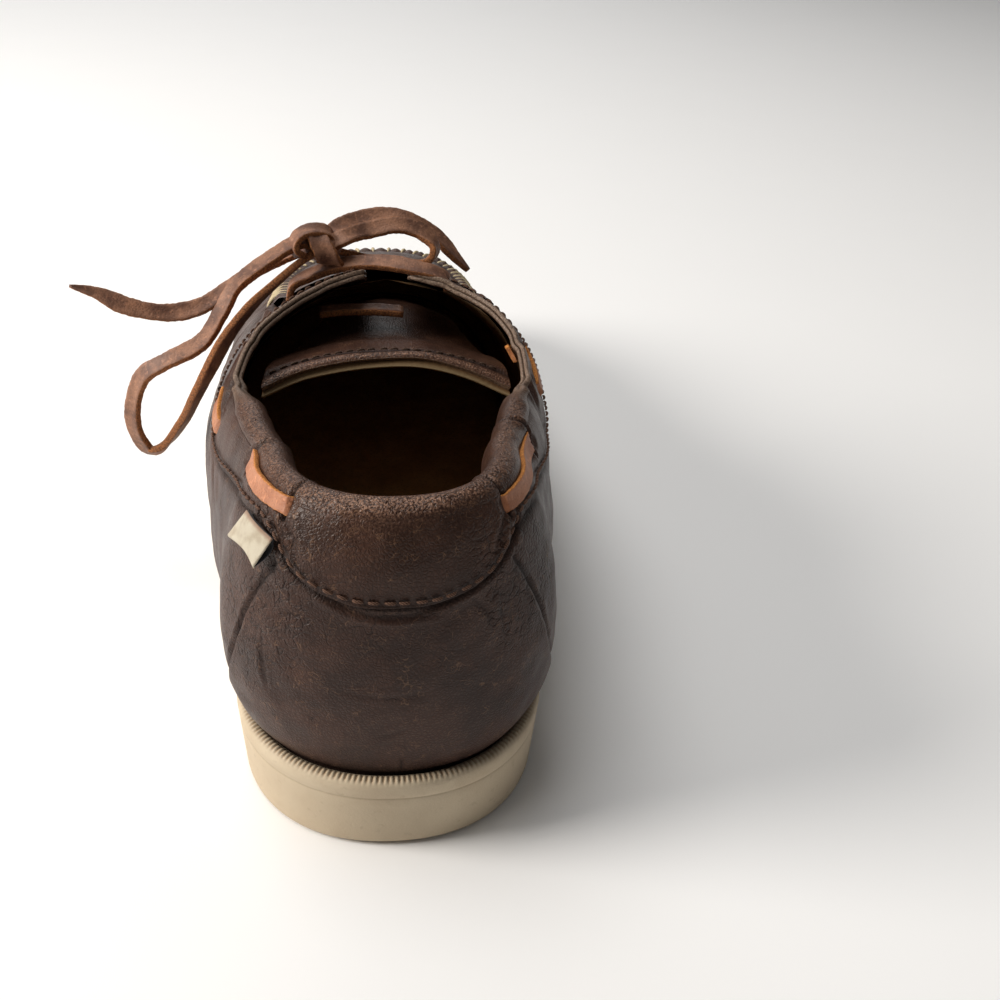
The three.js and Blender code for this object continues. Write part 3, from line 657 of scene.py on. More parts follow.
def grid(name, columns, rows, place, finish, looks=None):
    """A sheet of columns x rows faces, put in place by place(u, v), both from 0 to 1.

    looks is a direction that most of an open sheet's faces turn to; a closed one needs none.
    """
    bm = bmesh.new()
    bmesh.ops.create_grid(bm, x_segments=columns, y_segments=rows, size=0.5)
    mesh = bpy.data.meshes.new(name)
    bm.to_mesh(mesh)
    bm.free()
    flat = np.empty(len(mesh.vertices) * 3)
    mesh.vertices.foreach_get("co", flat)
    at = flat.reshape(-1, 3) + 0.5
    u = np.round(at[:, 0] * columns) / columns
    v = np.round(at[:, 1] * rows) / rows
    points, marks = place(u, v)
    mesh.vertices.foreach_set("co", points.ravel())
    for key, values in marks.items():
        mark = mesh.attributes.new(key, "FLOAT", "POINT")
        mark.data.foreach_set("value", np.asarray(values, dtype=np.float32))
    bm = bmesh.new()
    bm.from_mesh(mesh)
    bpy.data.meshes.remove(mesh)
    bmesh.ops.remove_doubles(bm, verts=bm.verts, dist=WELD)
    bmesh.ops.recalc_face_normals(bm, faces=bm.faces)
    if looks is not None:
        total = 0.0
        for face in bm.faces:
            total += face.normal.dot(looks(face.calc_center_median())) * face.calc_area()
        if total < 0:
            bmesh.ops.reverse_faces(bm, faces=bm.faces)
    return put(name, bm, finish)


def outward(centre):
    """Away from the middle of the shoe, for sheets that go round it."""
    return Vector((centre.x, centre.y - min(max(centre.y, 0.0), 0.17), 0.012))


def even_stations(start, stop, dense_heel):
    """Stations whose steps are even along the leather, and finer round the heel."""
    s = np.linspace(start, stop, 900)
    p = last_point(Station(OUTER, s), 0.35 + 0 * s)
    step = np.linalg.norm(np.diff(p, axis=0), axis=1)
    step = step * np.where(s[1:] < HEEL_SHARE + 0.03, dense_heel, 1.0)
    at = np.concatenate([[0], np.cumsum(step)])
    return lambda share: np.interp(np.asarray(share) * at[-1], at, s)


def round_shoe(u, spread):
    """Side and station, from the heel along the outer side and back along the inner one."""
    return np.where(u <= 0.5, OUTER, INNER), spread(1 - np.abs(1 - 2 * u))


def toward_middle(here, base):
    """The level direction from the leather to the shoe's middle line."""
    return unit(np.stack([here.centre_x - base[:, 0], here.centre_y - base[:, 1], 0 * base[:, 0]], axis=-1))


def thicken(piece, thickness, offset):
    wall = piece.modifiers.new("thickness", "SOLIDIFY")
    wall.thickness = thickness
    wall.offset = offset


def toward(*way):
    """For a sheet whose faces mostly turn one way."""
    return lambda centre: Vector(way)


# ------------------------------------------------------------------- quarters


def quarters(finish):
    """Vamp, quarters and counter: all leather below the band seam and the moc seam."""
    spread = even_stations(0.0, 1.0, 1.5)

    def place(u, v):
        side, s = round_shoe(u, spread)
        here = Station(side, s)
        row = v * QUARTER_ROWS
        climb = ramp(row, TUCK_ROWS, QUARTER_ROWS - TURNED_ROWS)
        climb = 1 - (1 - climb) ** 1.15
        over = ramp(row, QUARTER_ROWS - TURNED_ROWS, QUARTER_ROWS)
        seam = seam_share(here)
        h = seam * climb + over * 0.04
        base = last_point(here, h)
        normal = last_normal(side, s, h)
        rise, dark, wear_and_highlight = relief(base)
        ease = eased(ramp(base[:, 1], *MOC_BEGINS))
        run = pleat_phase(s)
        pleat = np.cos(run) * hump(h - seam, -0.05, 0.07)
        bead = hump(h - seam, -0.035, 0.028)
        groove = hump(h, seam, 0.014)
        heel = np.clip(1 - np.abs(base[:, 0]) / HEEL_ROLL_REACH, 0, 1) ** 0.5 * (base[:, 1] < 0)
        under = np.clip((seam - h) * 1000, 0, 60)
        roll = heel * hump(under, 13, 9)
        rise += ease * (MOC_BEAD * bead + MOC_PLEAT * pleat * (0.4 + bead) - MOC_GROOVE * groove)
        rise += HEEL_ROLL * roll
        rise -= (1 - ease) * SEAM_GROOVE * hump(h, seam, 0.012)
        rise = np.where(over > 0, -0.0009 * over - 0.0004, rise)
        dark = np.maximum(dark, 0.9 * hump(h, seam, 0.012))
        # painted shade in the troughs of the moc seam's pleats
        dark = np.maximum(dark, ease * 0.35 * np.clip(-pleat, 0, 1))
        for line in COUNTER_LINES:
            gap, _ = nearest(base, line)
            behind = (np.abs(base[:, 0]) < np.abs(np.interp(base[:, 2], line[::-1, 2], line[::-1, 0])))
            signed = np.where(behind, -gap, gap)
            step = COUNTER_STEP / (1 + np.exp(np.clip(signed / 0.00035, -40, 40)))
            local = np.exp(-np.clip(gap - 0.002, 0, 1) / 0.006) * (base[:, 1] < 0.012)
            rise += local * step - COUNTER_GROOVE * hump(gap, 0, COUNTER_WIDTH)
            dark = np.maximum(dark, 0.85 * hump(gap, 0, COUNTER_WIDTH))
        # the roll under the band's seam and the moc seam's bead are painted lighter: painted highlight,
        # partly wear
        wear_and_highlight = np.clip(wear_and_highlight + 0.5 * roll + 0.3 * ease * bead, 0, 1)
        settle = np.clip(1 - (h / 0.05), 0, 1)
        rise = rise * (1 - settle)
        points = base + normal * rise[:, None]
        tuck = ramp(row, TUCK_ROWS, 0)
        points[:, 2] -= tuck * (TUCK - 0.0002)
        # painted shade along the foot of the upper, where it sits in the sole's cup
        dark = np.maximum(dark, 0.8 * np.clip(1 - (h / 0.03), 0, 1))
        return points, {"dark": dark, "wear_and_highlight": wear_and_highlight, "web": wrinkled(base)}

    return grid("quarters", QUARTER_COLUMNS, QUARTER_ROWS, place, finish, outward)


QUARTER_COLUMNS = 960
QUARTER_ROWS = 78
TUCK_ROWS = 3                      # rows that go down into the cup
TURNED_ROWS = 3                    # rows that turn under the band
MOC_BEAD, MOC_PLEAT, MOC_GROOVE = 0.0015, 0.0005, 0.0008
MOC_BEGINS = (0.112, 0.124)        # the seam turns into the gathered one between these
HEEL_ROLL = 0.0005                 # soft roll under the band's seam
HEEL_ROLL_REACH = 0.026            # to each side
SEAM_GROOVE = 0.0006
COUNTER_STEP = 0.0005              # the counter lies this far over the quarters
COUNTER_GROOVE, COUNTER_WIDTH = 0.0006, 0.0007
PLEAT_PITCH = 0.0062               # between the hand stitches of the moc seam


def pleat_table():
    s = np.linspace(0, 1, 1200)
    line = last_point(Station(OUTER, s), APRON_EDGE + 0 * s)
    return s, lengths(line)[-1] - lengths(line)


PLEAT_S, PLEAT_RUN = pleat_table()


def pleat_phase(s):
    """Counts the moc seam's stitches from the toe back, in turns of a circle."""
    return np.interp(s, PLEAT_S, PLEAT_RUN) / PLEAT_PITCH * 2 * math.pi


COUNTER_LINES = [FACE.lay(smooth(np.array(COUNTER_SEAM) * (turn, 1, 1), 20))[0] for turn in (1, -1)]

# ---------------------------------------------------------------- collar band

# Edge of the facing: two layers of leather with a fine gap between their cut edges.
THIN_EDGE = [(0.0, 0.0003), (0.0002, 0.0006), (0.0006, 0.0008), (0.001, 0.0007), (0.0012, 0.0003),
             (0.0013, -0.0003), (0.0014, 0.0001), (0.0016, 0.0005), (0.002, 0.0006), (0.0024, 0.0003),
             (0.0026, -0.0004), (0.0026, -0.0022), (0.0026, -0.0045)]
# Padded collar: the leather turns over the foam and down the inside.
PAD_EDGE = [(0.0004, 0.0008), (0.001, 0.0016), (0.002, 0.0023), (0.0032, 0.0027), (0.0044, 0.0028),
            (0.0056, 0.0025), (0.0066, 0.0018), (0.0074, 0.0007), (0.0079, -0.0009), (0.0081, -0.0029),
            (0.0081, -0.0053), (0.008, -0.0078), (0.0078, -0.01)]
BAND_COLUMNS = 640
BAND_ROWS = 104
BAND_FACE_ROWS = 70
# Where it lies on the way over the edge, and how wide it is.
LAYERS_PART = (0.46, 0.05)         # the gap between the facing's two layers
ROLL_CROWN = (0.28, 0.22)          # the top of the padded roll, painted lighter: painted highlight, partly wear


def band(finish):
    """Collar band and facings, with the padded roll round the heel, in one leather."""
    spread = even_stations(0.0, station_of(BAND_FRONT), 1.35)
    slit_lines = slits()
    window_lines = [window_line(*span, 15)[0] for _, *span in WINDOWS]
    eyelets = FACE.lay(np.array(EYELETS))[0]

    def place(u, v):
        side = np.where(u < 0.5, OUTER, INNER)
        s = spread(np.abs(1 - 2 * u))
        here = Station(side, s)
        row = v * BAND_ROWS
        seam, top = seam_share(here), top_share(here)
        climb = ramp(row, TURNED_ROWS, BAND_FACE_ROWS)
        h = seam + (top - seam) * climb
        base = last_point(here, h)
        normal = last_normal(side, s, h)
        rise, dark, wear_and_highlight = relief(base)
        size = pad_size(here.edge_y)
        rise += BAND_PROUD + swelling(here, h, seam, top)
        near_edge = hump((h - seam) * 60, 0, 1.1)
        rise -= 0.0003 * near_edge
        for line in window_lines:
            gap, _ = nearest(base, line)
            hollow = hump(gap, 0, 0.62 * WINDOW_WIDTH, 4)
            rise = rise * (1 - hollow) + (BAND_PROUD + swelling(here, h, seam, top)) * hollow
            rise -= hollow * window_dip(here.edge_y)
        for line in slit_lines:
            gap, _ = nearest(base, line)
            rise -= SLIT_DEPTH * hump(gap, 0, SLIT_HALF) - 0.0003 * hump(gap, 0.0012, 0.0006)
            # painted shade in the slit
            dark = np.maximum(dark, hump(gap, 0, 0.0006, 4))
        for hole in eyelets:
            gap = np.linalg.norm(base - hole, axis=1)
            rise -= EYELET_DEPTH * hump(gap, 0, EYELET_RADIUS, 6)
            rise += 0.0004 * hump(gap, EYELET_RADIUS * 1.5, 0.0008)
            # painted shade in the eyelet hole
            dark = np.maximum(dark, hump(gap, 0, EYELET_RADIUS, 6))
        dark = np.maximum(dark, 0.5 * near_edge)
        under = ramp(row, TURNED_ROWS, 0)
        rise = np.where(row < TURNED_ROWS, (BAND_PROUD - 0.0003) * (1 - under) - 0.0004 * under, rise)
        points = base + normal * rise[:, None]
        over = ramp(row, BAND_FACE_ROWS, BAND_ROWS)
        at = over * len(PAD_EDGE)
        knots = np.arange(len(PAD_EDGE) + 1)
        thin, thick = [read_off(np.vstack([[0, 0], edge]), knots, at).T for edge in (THIN_EDGE, PAD_EDGE)]
        slope = unit(last_point(here, np.minimum(h + 0.004, 1)) - last_point(here, h - 0.004))
        flat_in = toward_middle(here, base)
        up = np.array([0.0, 0.0, 1.0])
        sharp = -normal * thin[0][:, None] + slope * thin[1][:, None]
        full = flat_in * thick[0][:, None] + up * thick[1][:, None]
        offset = sharp * (1 - size[:, None]) + full * size[:, None]
        swell = 0.0004 * lumps(base + offset, 0.012, 8) * np.sin(over * math.pi) * size
        points = np.where(over[:, None] > 0, points + offset + normal * swell[:, None], points)
        cut = (1 - size) * np.clip(over * 30, 0, 1) * np.clip((0.86 - over) * 12, 0, 1)
        gap_line = (1 - size) * hump(over, *LAYERS_PART)
        dark = np.maximum(np.where(over > 0, dark * (1 - over), dark), gap_line)
        # painted highlight along the crest of the padded roll, partly wear
        crown = size * hump(over, *ROLL_CROWN)
        wear_and_highlight = np.clip(wear_and_highlight + 0.85 * crown, 0, 1)
        web = np.maximum(wrinkled(base), 0.6 * crown)
        return points, {"dark": dark, "wear_and_highlight": wear_and_highlight, "cut": cut, "web": web}

    return grid("collar_band", BAND_COLUMNS, BAND_ROWS, place, finish, outward)


LINING_INSET = 0.0024              # the lining lies this far inside the last
# The lining's raw edge shows along the inner facing, and fades at both ends of it.
RAW_FROM, RAW_TO = (0.055, 0.061), (0.098, 0.09)
# Inside of the padding: height from the collar's edge, and how far inside the last.
PAD_INSIDE = [(-0.0262, 0.0036), (-0.017, 0.006), (-0.011, 0.0072), (-0.007, 0.0076)]


def lining(finish):
    """Inside of the upper, from under the collar's roll down to the footbed."""
    spread = even_stations(0.0, 1.0, 1.0)
    pad = np.array(PAD_INSIDE)

    def place(u, v):
        side, s = round_shoe(u, spread)
        here = Station(side, s)
        top = np.where(here.y > BAND_FRONT, 1.0, top_share(here))
        size = pad_size(here.edge_y)
        ridge = column(RIDGE, "z", here.y) - here.feather()
        stop = top - size * 0.007 / ridge - (1 - size) * 0.003 / ridge
        h = np.where(here.y > BAND_FRONT, v, v * stop)
        base = last_point(here, h)
        normal = last_normal(side, s, h)
        drop = (h - top) * ridge
        padded = np.interp(drop, pad[:, 0], pad[:, 1], left=LINING_INSET)
        inward = LINING_INSET + size * (padded - LINING_INSET)
        flat_in = toward_middle(here, base)
        way = unit(flat_in * size[:, None] - normal * (1 - size[:, None]))
        rise = inward + 0.0003 * lumps(base, 0.016, 9)
        points = base + way * rise[:, None]
        points[:, 2] -= np.clip(1 - v * 20, 0, 1) * 0.0015
        facing = ramp(here.y, *RAW_FROM) * ramp(here.y, *RAW_TO) * (side == INNER)
        return points, {"edge": np.clip(v * 48 - 45.2, 0, 1) * facing}

    return grid("lining", 220, 48, place, finish, lambda c: -outward(c))


# ------------------------------------------------------------- apron and tongue

APRON_BACK = 0.119
APRON_PROUD = 0.0018
APRON_ROWS = 64
APRON_COLUMNS = 400
EDGE_ROWS = 6                      # rows that turn down at its edge


def apron(finish):
    """The plug of the moc toe, gathered to the vamp by hand stitches."""
    spread = even_stations(station_of(APRON_BACK), 1.0, 1.0)

    def place(u, v):
        side, s = round_shoe(u, spread)
        here = Station(side, s)
        row = v * APRON_ROWS
        climb = ramp(row, EDGE_ROWS, APRON_ROWS)
        low = math.asin(APRON_EDGE + 0.006)
        h = np.sin(low + (math.pi / 2 - low) * climb)
        base = last_point(here, h)
        normal = last_normal(side, s, np.minimum(h, 0.985))
        crest = np.clip((h - 0.9995) / 0.0005, 0, 1)[:, None]
        normal = unit(normal * (1 - crest) + np.array([0.0, 0.15, 1.0]) * crest)
        edge = h - APRON_EDGE
        wave = np.cos(pleat_phase(s)) * hump(edge, 0, 0.05)
        back = np.clip((base[:, 1] - 0.12) / 0.01, 0, 1)
        rise = APRON_PROUD + 0.0002 * lumps(base, 0.03, 3)
        rise += 0.0009 * hump(edge, 0.018, 0.018) + 0.0005 * wave * back
        rise -= 0.0006 * hump(edge, 0.05, 0.014)
        for path, depth, width in APRON_CREASES:
            gap, share = nearest(base, FACE.lay(smooth(path, 12))[0])
            rise += depth * fold(gap, share, width, 0.4, 2.2)[0]
        turn = ramp(row, EDGE_ROWS, 0)
        rise = np.where(row < EDGE_ROWS, rise * (1 - turn ** 3) - 0.0004 * turn ** 3, rise)
        points = base + normal * rise[:, None]
        slope = unit(last_point(here, np.minimum(h + 0.01, 1)) - last_point(here, h - 0.01))
        points -= slope * (0.0007 * (1 - (2 * turn - 1) ** 2) * (row < EDGE_ROWS))[:, None]
        # painted shade where the edge turns down into the seam, in the groove above its ridge and in the
        # pleat troughs
        dark = np.maximum(0.8 * turn, 0.5 * hump(edge, 0.05, 0.01))
        dark = np.maximum(dark, 0.3 * np.clip(-wave, 0, 1))
        # the ridge above the moc seam is painted lighter: painted highlight, partly wear
        wear_and_highlight = 0.5 * hump(edge, 0.02, 0.02)
        return points, {"dark": dark, "wear_and_highlight": wear_and_highlight, "cut": 0 * wear_and_highlight, "web": wrinkled(base)}

    return grid("apron_leather", APRON_COLUMNS, APRON_ROWS, place, finish, toward(0, 0.1, 1))


APRON_CREASES = [
    ([(-0.03, 0.132, 0.068), (0.0, 0.137, 0.072), (0.028, 0.133, 0.068)], 0.0007, 0.0018),
    ([(-0.026, 0.15, 0.061), (0.0, 0.154, 0.066), (0.026, 0.151, 0.061)], 0.0005, 0.0018),
]

TONGUE = {
    "y": [0.058, 0.064, 0.074, 0.086, 0.098, 0.106, 0.122, 0.138],
    "z": [0.074, 0.076, 0.0745, 0.0715, 0.0715, 0.0715, 0.0675, 0.0625],
    "half": [0.033, 0.032, 0.03, 0.026, 0.022, 0.02, 0.017, 0.015],
}
TONGUE_FALL = 0.005
TONGUE_CURVE = 0.004
TONGUE_THICKNESS = 0.0021
TONGUE_START, TONGUE_FRONT = 0.062, 0.138
TONGUE_SEAM = 0.003                # from its free edge
TONGUE_LINING = (-0.0003, 0.0024, 0.0007)  # set back, let down and this thick
UNDER_LAST = 0.0036                # it lies this far under the last's face, and more at its sides
UNDER_SIDES = 0.0024


def last_height(x, y):
    """Height of the last's face over points between its sides."""
    side = np.where(x < column(LAST, "middle", y), OUTER, INNER)
    place = Station(side, station_of(y))
    h = halving(0.45 + 0 * y, 1 + 0 * y, lambda m: side * last_point(place, m)[..., 0] > side * x)
    return last_point(place, h)[..., 2]


def tongue_point(back, u, drop):
    """A point of the tongue, back being the distance from its free edge."""
    row = TONGUE_START + back
    y = row - TONGUE_CURVE * u * u * ((TONGUE_FRONT - row) / (TONGUE_FRONT - TONGUE_START))
    x = column(LAST, "middle", y) + u * column(TONGUE, "half", y)
    free = column(TONGUE, "z", y) - TONGUE_FALL * u * u
    under = last_height(x, y) - UNDER_LAST - UNDER_SIDES * u * u
    z = np.minimum(free, under) - drop
    return np.stack([x, y, z], axis=-1)


def tongue(name, finish, back, drop, thickness):
    """One layer of the tongue, its free edge set back and its face let down."""

    def place(u, v):
        fine = back + (TONGUE_FRONT - TONGUE_START - back) * v ** 1.4
        across = 2 * u - 1
        points = tongue_point(fine, across, drop)
        lip = hump(v, 0, 0.025)
        points[:, 2] += 0.0004 * lumps(points, 0.02, 12) - 0.0005 * lip
        groove = hump(fine - back, TONGUE_SEAM, 0.0006)
        points[:, 2] -= 0.0003 * groove
        # painted highlight along the tongue's free edge
        wear_and_highlight = 0.9 * hump(fine - back, 0.001, 0.0012)
        raw = np.clip(1 - (fine - back) / 0.0011, 0, 1)
        marks = {"dark": 0.7 * groove, "wear_and_highlight": wear_and_highlight, "edge": raw, "web": 0 * v}
        return points, {**marks, "cut": np.clip(1 - v / 0.004, 0, 1)}

    piece = grid(name, 150, 110, place, finish, toward(0, 0, 1))
    thicken(piece, thickness, -1)
    rounding = piece.modifiers.new("rounding", "BEVEL")
    rounding.width = 0.0004
    rounding.segments = 2
    rounding.limit_method = "ANGLE"
    rounding.angle_limit = math.radians(60)
    return piece


# ----------------------------------------------------------------------- laces

# Half section of a flat lace: across, up, and how far it is a cut edge.
LACE_SECTION = [(-0.3, 0.52, 0), (0.0, 0.54, 0), (0.3, 0.52, 0), (0.42, 0.48, 0), (0.475, 0.38, 0.8),
                (0.5, 0.2, 1), (0.5, -0.2, 1), (0.475, -0.38, 1), (0.42, -0.48, 0.6), (0.3, -0.52, 0.5),
                (0.0, -0.54, 0.5), (-0.3, -0.52, 0.5), (-0.42, -0.48, 0.6), (-0.475, -0.38, 1),
                (-0.5, -0.2, 1), (-0.5, 0.2, 1), (-0.475, 0.38, 0.8), (-0.42, 0.48, 0)]


def lace(name, route, finish, seed, width=LACE_WIDTH, thickness=LACE_THICKNESS, tips=(0, 0), steps=None,
         sink=0):
    """A flat leather lace along a route.

    tips are the lengths over which its ends narrow. Where sink isn't 0 both ends dive under
    the band, along slanted slits; its sign is the side of the shoe.
    """
    count = 400
    middle = smooth([point for point, _ in route], count)
    at = lengths(middle)
    marks = lengths(np.array([point for point, _ in route], float))
    marks = marks / marks[-1]
    looks = read_off([look for _, look in route], marks, at / at[-1])
    along = unit(np.gradient(middle, axis=0))
    across = unit(np.cross(along, looks))
    face = np.cross(across, along)
    section = np.array(LACE_SECTION)
    steps = steps or max(24, int(at[-1] / 0.0009))
    total = at[-1]

    def place(u, v):
        row = np.clip((v * (steps + 2) - 1) / steps, 0, 1)
        capped = (v == 0) | (v == 1)
        run = row * total
        k = np.round(u * len(section)).astype(int) % len(section)
        shape = section[k]
        here = [read_off(part, at, run) for part in (middle, across, face)]
        narrow = np.ones_like(run)
        for tip, gap in zip(tips, (run, total - run)):
            if tip:
                narrow = np.minimum(narrow, 0.12 + 0.88 * np.clip(gap / tip, 0, 1) ** 0.8)
        rough = 1 + 0.05 * np.sin(run * 900 + seed) * np.sin(run * 2300 + 2 * seed)
        wide = shape[:, 0] * width * narrow * rough * (0.98 + 0.04 * np.sin(run * 400 + seed))
        high = shape[:, 1] * thickness * (0.75 + 0.25 * narrow)
        cup = -0.12 * thickness * np.cos(shape[:, 0] * 2 * math.pi)
        points = here[0] + here[1] * wide[:, None] + here[2] * (high + cup * (shape[:, 1] > 0))[:, None]
        points = np.where(capped[:, None], here[0], points)
        if sink:
            rear, front = [sink * slant * shape[:, 0] * width for slant in SLIT_SLANTS]
            inside = np.minimum(run + rear, total - run - front) - WINDOW_SINK
            points -= here[2] * (0.004 * (1 - np.clip((inside + 0.0004) / 0.0009, 0, 1)) ** 2)[:, None]
        return points, {"cut": np.where(capped, 1.0, shape[:, 2])}

    piece = grid(name, len(section), steps + 2, place, finish)
    return piece, middle, total


WINDOW_SINK = 0.003                # how far the lace goes on under the band, past each slit
WINDOW_THICKNESS = 0.0013
WINDOW_LIFT = 0.0003
WINDOW_SLACK = 0.0003


def window_route(side, start, stop, *below):
    """The lace's middle over the band, from under one slit to under the other."""
    span = (side, start - WINDOW_SINK, stop + WINDOW_SINK, *below, 11)
    upper, lower = [window_line(*span, down=down)[2] for down in (-WINDOW_WIDTH / 2, WINDOW_WIDTH / 2)]
    middle = (upper + lower) / 2
    across = unit(upper - lower)
    looks = unit(np.cross(np.gradient(middle, axis=0), across)) * side
    lift = WINDOW_LIFT + WINDOW_SLACK * np.sin(np.linspace(0, math.pi, 11)) ** 2
    lifted = middle + looks * lift[:, None]
    return [(tuple(p), tuple(n)) for p, n in zip(lifted, looks)]


def knot(finish):
    """The lace's turn round the two loops, the tuck that it ends in, and what they hold."""
    centre = Vector(KNOT_AT)
    bm = bmesh.new()
    core = Matrix.Translation(centre) @ Matrix.Diagonal((0.0052, 0.0036, 0.0036, 1))
    bmesh.ops.create_uvsphere(bm, u_segments=32, v_segments=18, radius=1, matrix=core)
    for vert in bm.verts:
        out = (vert.co - centre).normalized()
        vert.co += out * 0.0007 * math.sin(out.z * 9 + out.x * 4) * (1 - abs(out.x))
    pieces = [put("knot_core", bm, finish)]
    turns = 24
    wrap = []
    for k in range(turns + 1):
        turn = (-0.55 + 1.96 * k / turns) * math.pi
        high, deep = math.sin(turn), math.cos(turn)
        forward = 0.0024 * (k / turns - 0.5)
        point = centre + Vector((forward - 0.0021 * high, 0.0046 * deep, 0.0004 + 0.0043 * high))
        wrap.append((tuple(point), (0.25 * high, deep, high)))
    pieces.append(lace("knot_wrap", wrap, finish, 5, width=0.0058, thickness=0.0017, steps=90)[0])
    tuck = [((0.003, 0.002, 0.001), (0.4, -0.3, 0.9)), ((0.0012, 0.0004, 0.0046), (0.2, -0.3, 0.9)),
            ((-0.003, -0.0012, 0.0056), (-0.2, -0.4, 0.9)), ((-0.0066, -0.003, 0.0044), (-0.7, -0.5, 0.5)),
            ((-0.0078, -0.0042, 0.0016), (-0.9, -0.4, -0.1)),
            ((-0.006, -0.003, -0.0012), (-0.3, -0.5, -0.8))]
    route = [(tuple(centre + Vector(point)), look) for point, look in tuck]
    pieces.append(lace("knot_tuck", route, finish, 6, width=0.0048, thickness=0.0017, steps=40)[0])
    return pieces


# -------------------------------------------------------------------- stitches


def add_stitch(bm, start, stop, up, radius, arch):
    """One thread stitch from start to stop, bowed up in the middle, in few faces."""
    ball = bmesh.ops.create_uvsphere(bm, u_segments=6, v_segments=6, radius=1)
    along = stop - start
    side = along.cross(up).normalized()
    lift = side.cross(along).normalized()
    for vert in ball["verts"]:
        share = (vert.co.z + 1) / 2
        bow = 4 * share * (1 - share) * arch
        thick = radius * math.sqrt(max(0.0, 1 - (2 * share - 1) ** 6))
        flat = Vector((vert.co.x, vert.co.y))
        flat = flat.normalized() if flat.length > 1e-6 else flat
        vert.co = start + along * share + lift * (bow + flat.y * thick) + side * flat.x * thick


def stitch_row(name, line, normals, finish, pitch, length, radius, arch):
    """Even stitches along a line on the leather."""
    at = lengths(line)
    count = int(at[-1] / pitch)
    bm = bmesh.new()
    rng = np.random.default_rng(11)
    for k in range(count):
        middle = (k + 0.5) * pitch + rng.normal(0, 0.04) * pitch
        ends = []
        for run in (middle - length / 2, middle + length / 2):
            ends.append(Vector(read_off(line, at, run)))
        up = Vector(read_off(normals, at, middle))
        add_stitch(bm, *ends, up, radius, arch)
    return put(name, bm, finish)


# Pitch, length of a stitch, radius of the thread, and how far each stitch bows up.
BAND_SEWING = (0.0032, 0.0024, 0.00034, 0.0003)
FACING_SEWING = (0.003, 0.0023, 0.00032, 0.0003)
TONGUE_SEWING = (0.003, 0.0022, 0.0003, 0.0003)


def band_line(shift, start, lift):
    """A line along the band's lower edge, from the front of one side round the heel to the other."""
    s = np.linspace(station_of(start), 0.0, 260)
    s = np.concatenate([s, s[::-1][1:]])
    side = np.where(np.arange(len(s)) < 260, OUTER, INNER)
    here = Station(side, s)
    h = seam_share(here) + shift / (column(RIDGE, "z", here.y) - here.feather())
    normal = last_normal(side, s, h)
    return last_point(here, h) + normal * lift, normal


def facing_line(side, back_from, inset, lift):
    """A line along the facing's free edge, inset from it."""
    s = np.linspace(station_of(back_from), station_of(0.117), 160)
    here = Station(np.full(160, side), s)
    top = top_share(here)
    edge = last_point(here, top)
    normal = last_normal(np.full(160, side), s, top)
    along = unit(np.gradient(edge, axis=0))
    inner = unit(np.cross(along, normal))
    way = np.where(np.sum(inner * (last_point(here, top - 0.05) - edge), axis=1) > 0, 1.0, -1.0)
    line = edge + inner * way[:, None] * inset
    return FACE.lay(even(line, 120), lift)


# Where a hand stitch goes in, its crown and where it comes out: height from the seam, lift.
MOC_STITCH = [(0.04, 0.0014), (-0.005, 0.0026), (-0.05, 0.0006)]
MOC_THREAD = 0.00065
MOC_FROM = 0.134                   # the hand stitches start here and go round the toe


def moc_stitches(finish):
    """Thick hand stitches that draw the vamp up to the apron."""
    bm = bmesh.new()
    s = np.linspace(station_of(MOC_FROM), 1.0, 2000)
    turns = pleat_phase(s) / (2 * math.pi)
    for side in (OUTER, INNER):
        for k in range(int(turns.max()) + 1):
            here = Station(np.array([side]), np.array([np.interp(-(k + 0.5), -turns, s)]))
            up = Vector(last_normal(here.side, here.s, np.array([APRON_EDGE]))[0])
            points = []
            for rise, lift in MOC_STITCH:
                h = np.array([APRON_EDGE + rise])
                point = last_point(here, h) + last_normal(here.side, here.s, h) * lift
                points.append(Vector(point[0]))
            arch = (points[1] - (points[0] + points[2]) / 2).dot(up)
            add_stitch(bm, points[0], points[2], up, MOC_THREAD, arch)
    return put("moc_stitches", bm, finish)


# ------------------------------------------------------------------------ sole

SOLE_COLUMNS = 900
RIB_COLUMNS = 3600
RIB_PITCH = 0.00125
RIB_DEPTH = 0.0003
# Across the ribs: how far outside the last, how far over the rim, how deep they are cut, how much painted
# shade lies on them next to the leather.
RIB_SECTION = [(0.0009, -0.0008, 0.0, 1.0), (0.0011, -0.0001, 0.3, 0.9), (0.0015, 0.0002, 0.8, 0.5),
               (0.0021, 0.0003, 1.0, 0.1), (0.0027, 0.0002, 1.0, 0.0), (0.0031, 0.0, 0.6, 0.0),
               (0.0035, -0.0004, 0.1, 0.0), (0.0039, -0.0009, 0.0, 0.0), (0.0039, -0.0014, 0.0, 0.0)]


def sole(finish):
    spread = even_stations(0.0, 1.0, 1.0)
    section = np.array(WALL_SECTION)

    def place(u, v):
        side, s = round_shoe(u, spread)
        row = np.round(v * SOLE_ROWS).astype(int)
        out, level, share, mark = section[row].T
        top = Station(side, s, RIM_WIDTH).feather()
        ground = column(GROUND, "z", Station(side, s, RIM_WIDTH - SOLE_DRAFT).edge_y)
        place_at = Station(side, s, out - SOLE_DRAFT * share)
        z = np.where(share > 0, top + level + (ground - top - level) * share, top + level)
        last_row = row >= SOLE_ROWS - 2
        z = np.where(last_row, ground + 0.0001 + 0.0002 * (SOLE_ROWS - row), z)
        points = place_at.inside(1.0, z)
        dirt = np.clip(0.3 + 0.7 * share + 0.4 * lumps(points, 0.02, 21), 0, 1) * (share > 0)
        return points, {"dark": mark, "rib": 0 * s, "dirt": dirt}

    return grid("cup_sole", SOLE_COLUMNS, SOLE_ROWS, place, finish, outward)


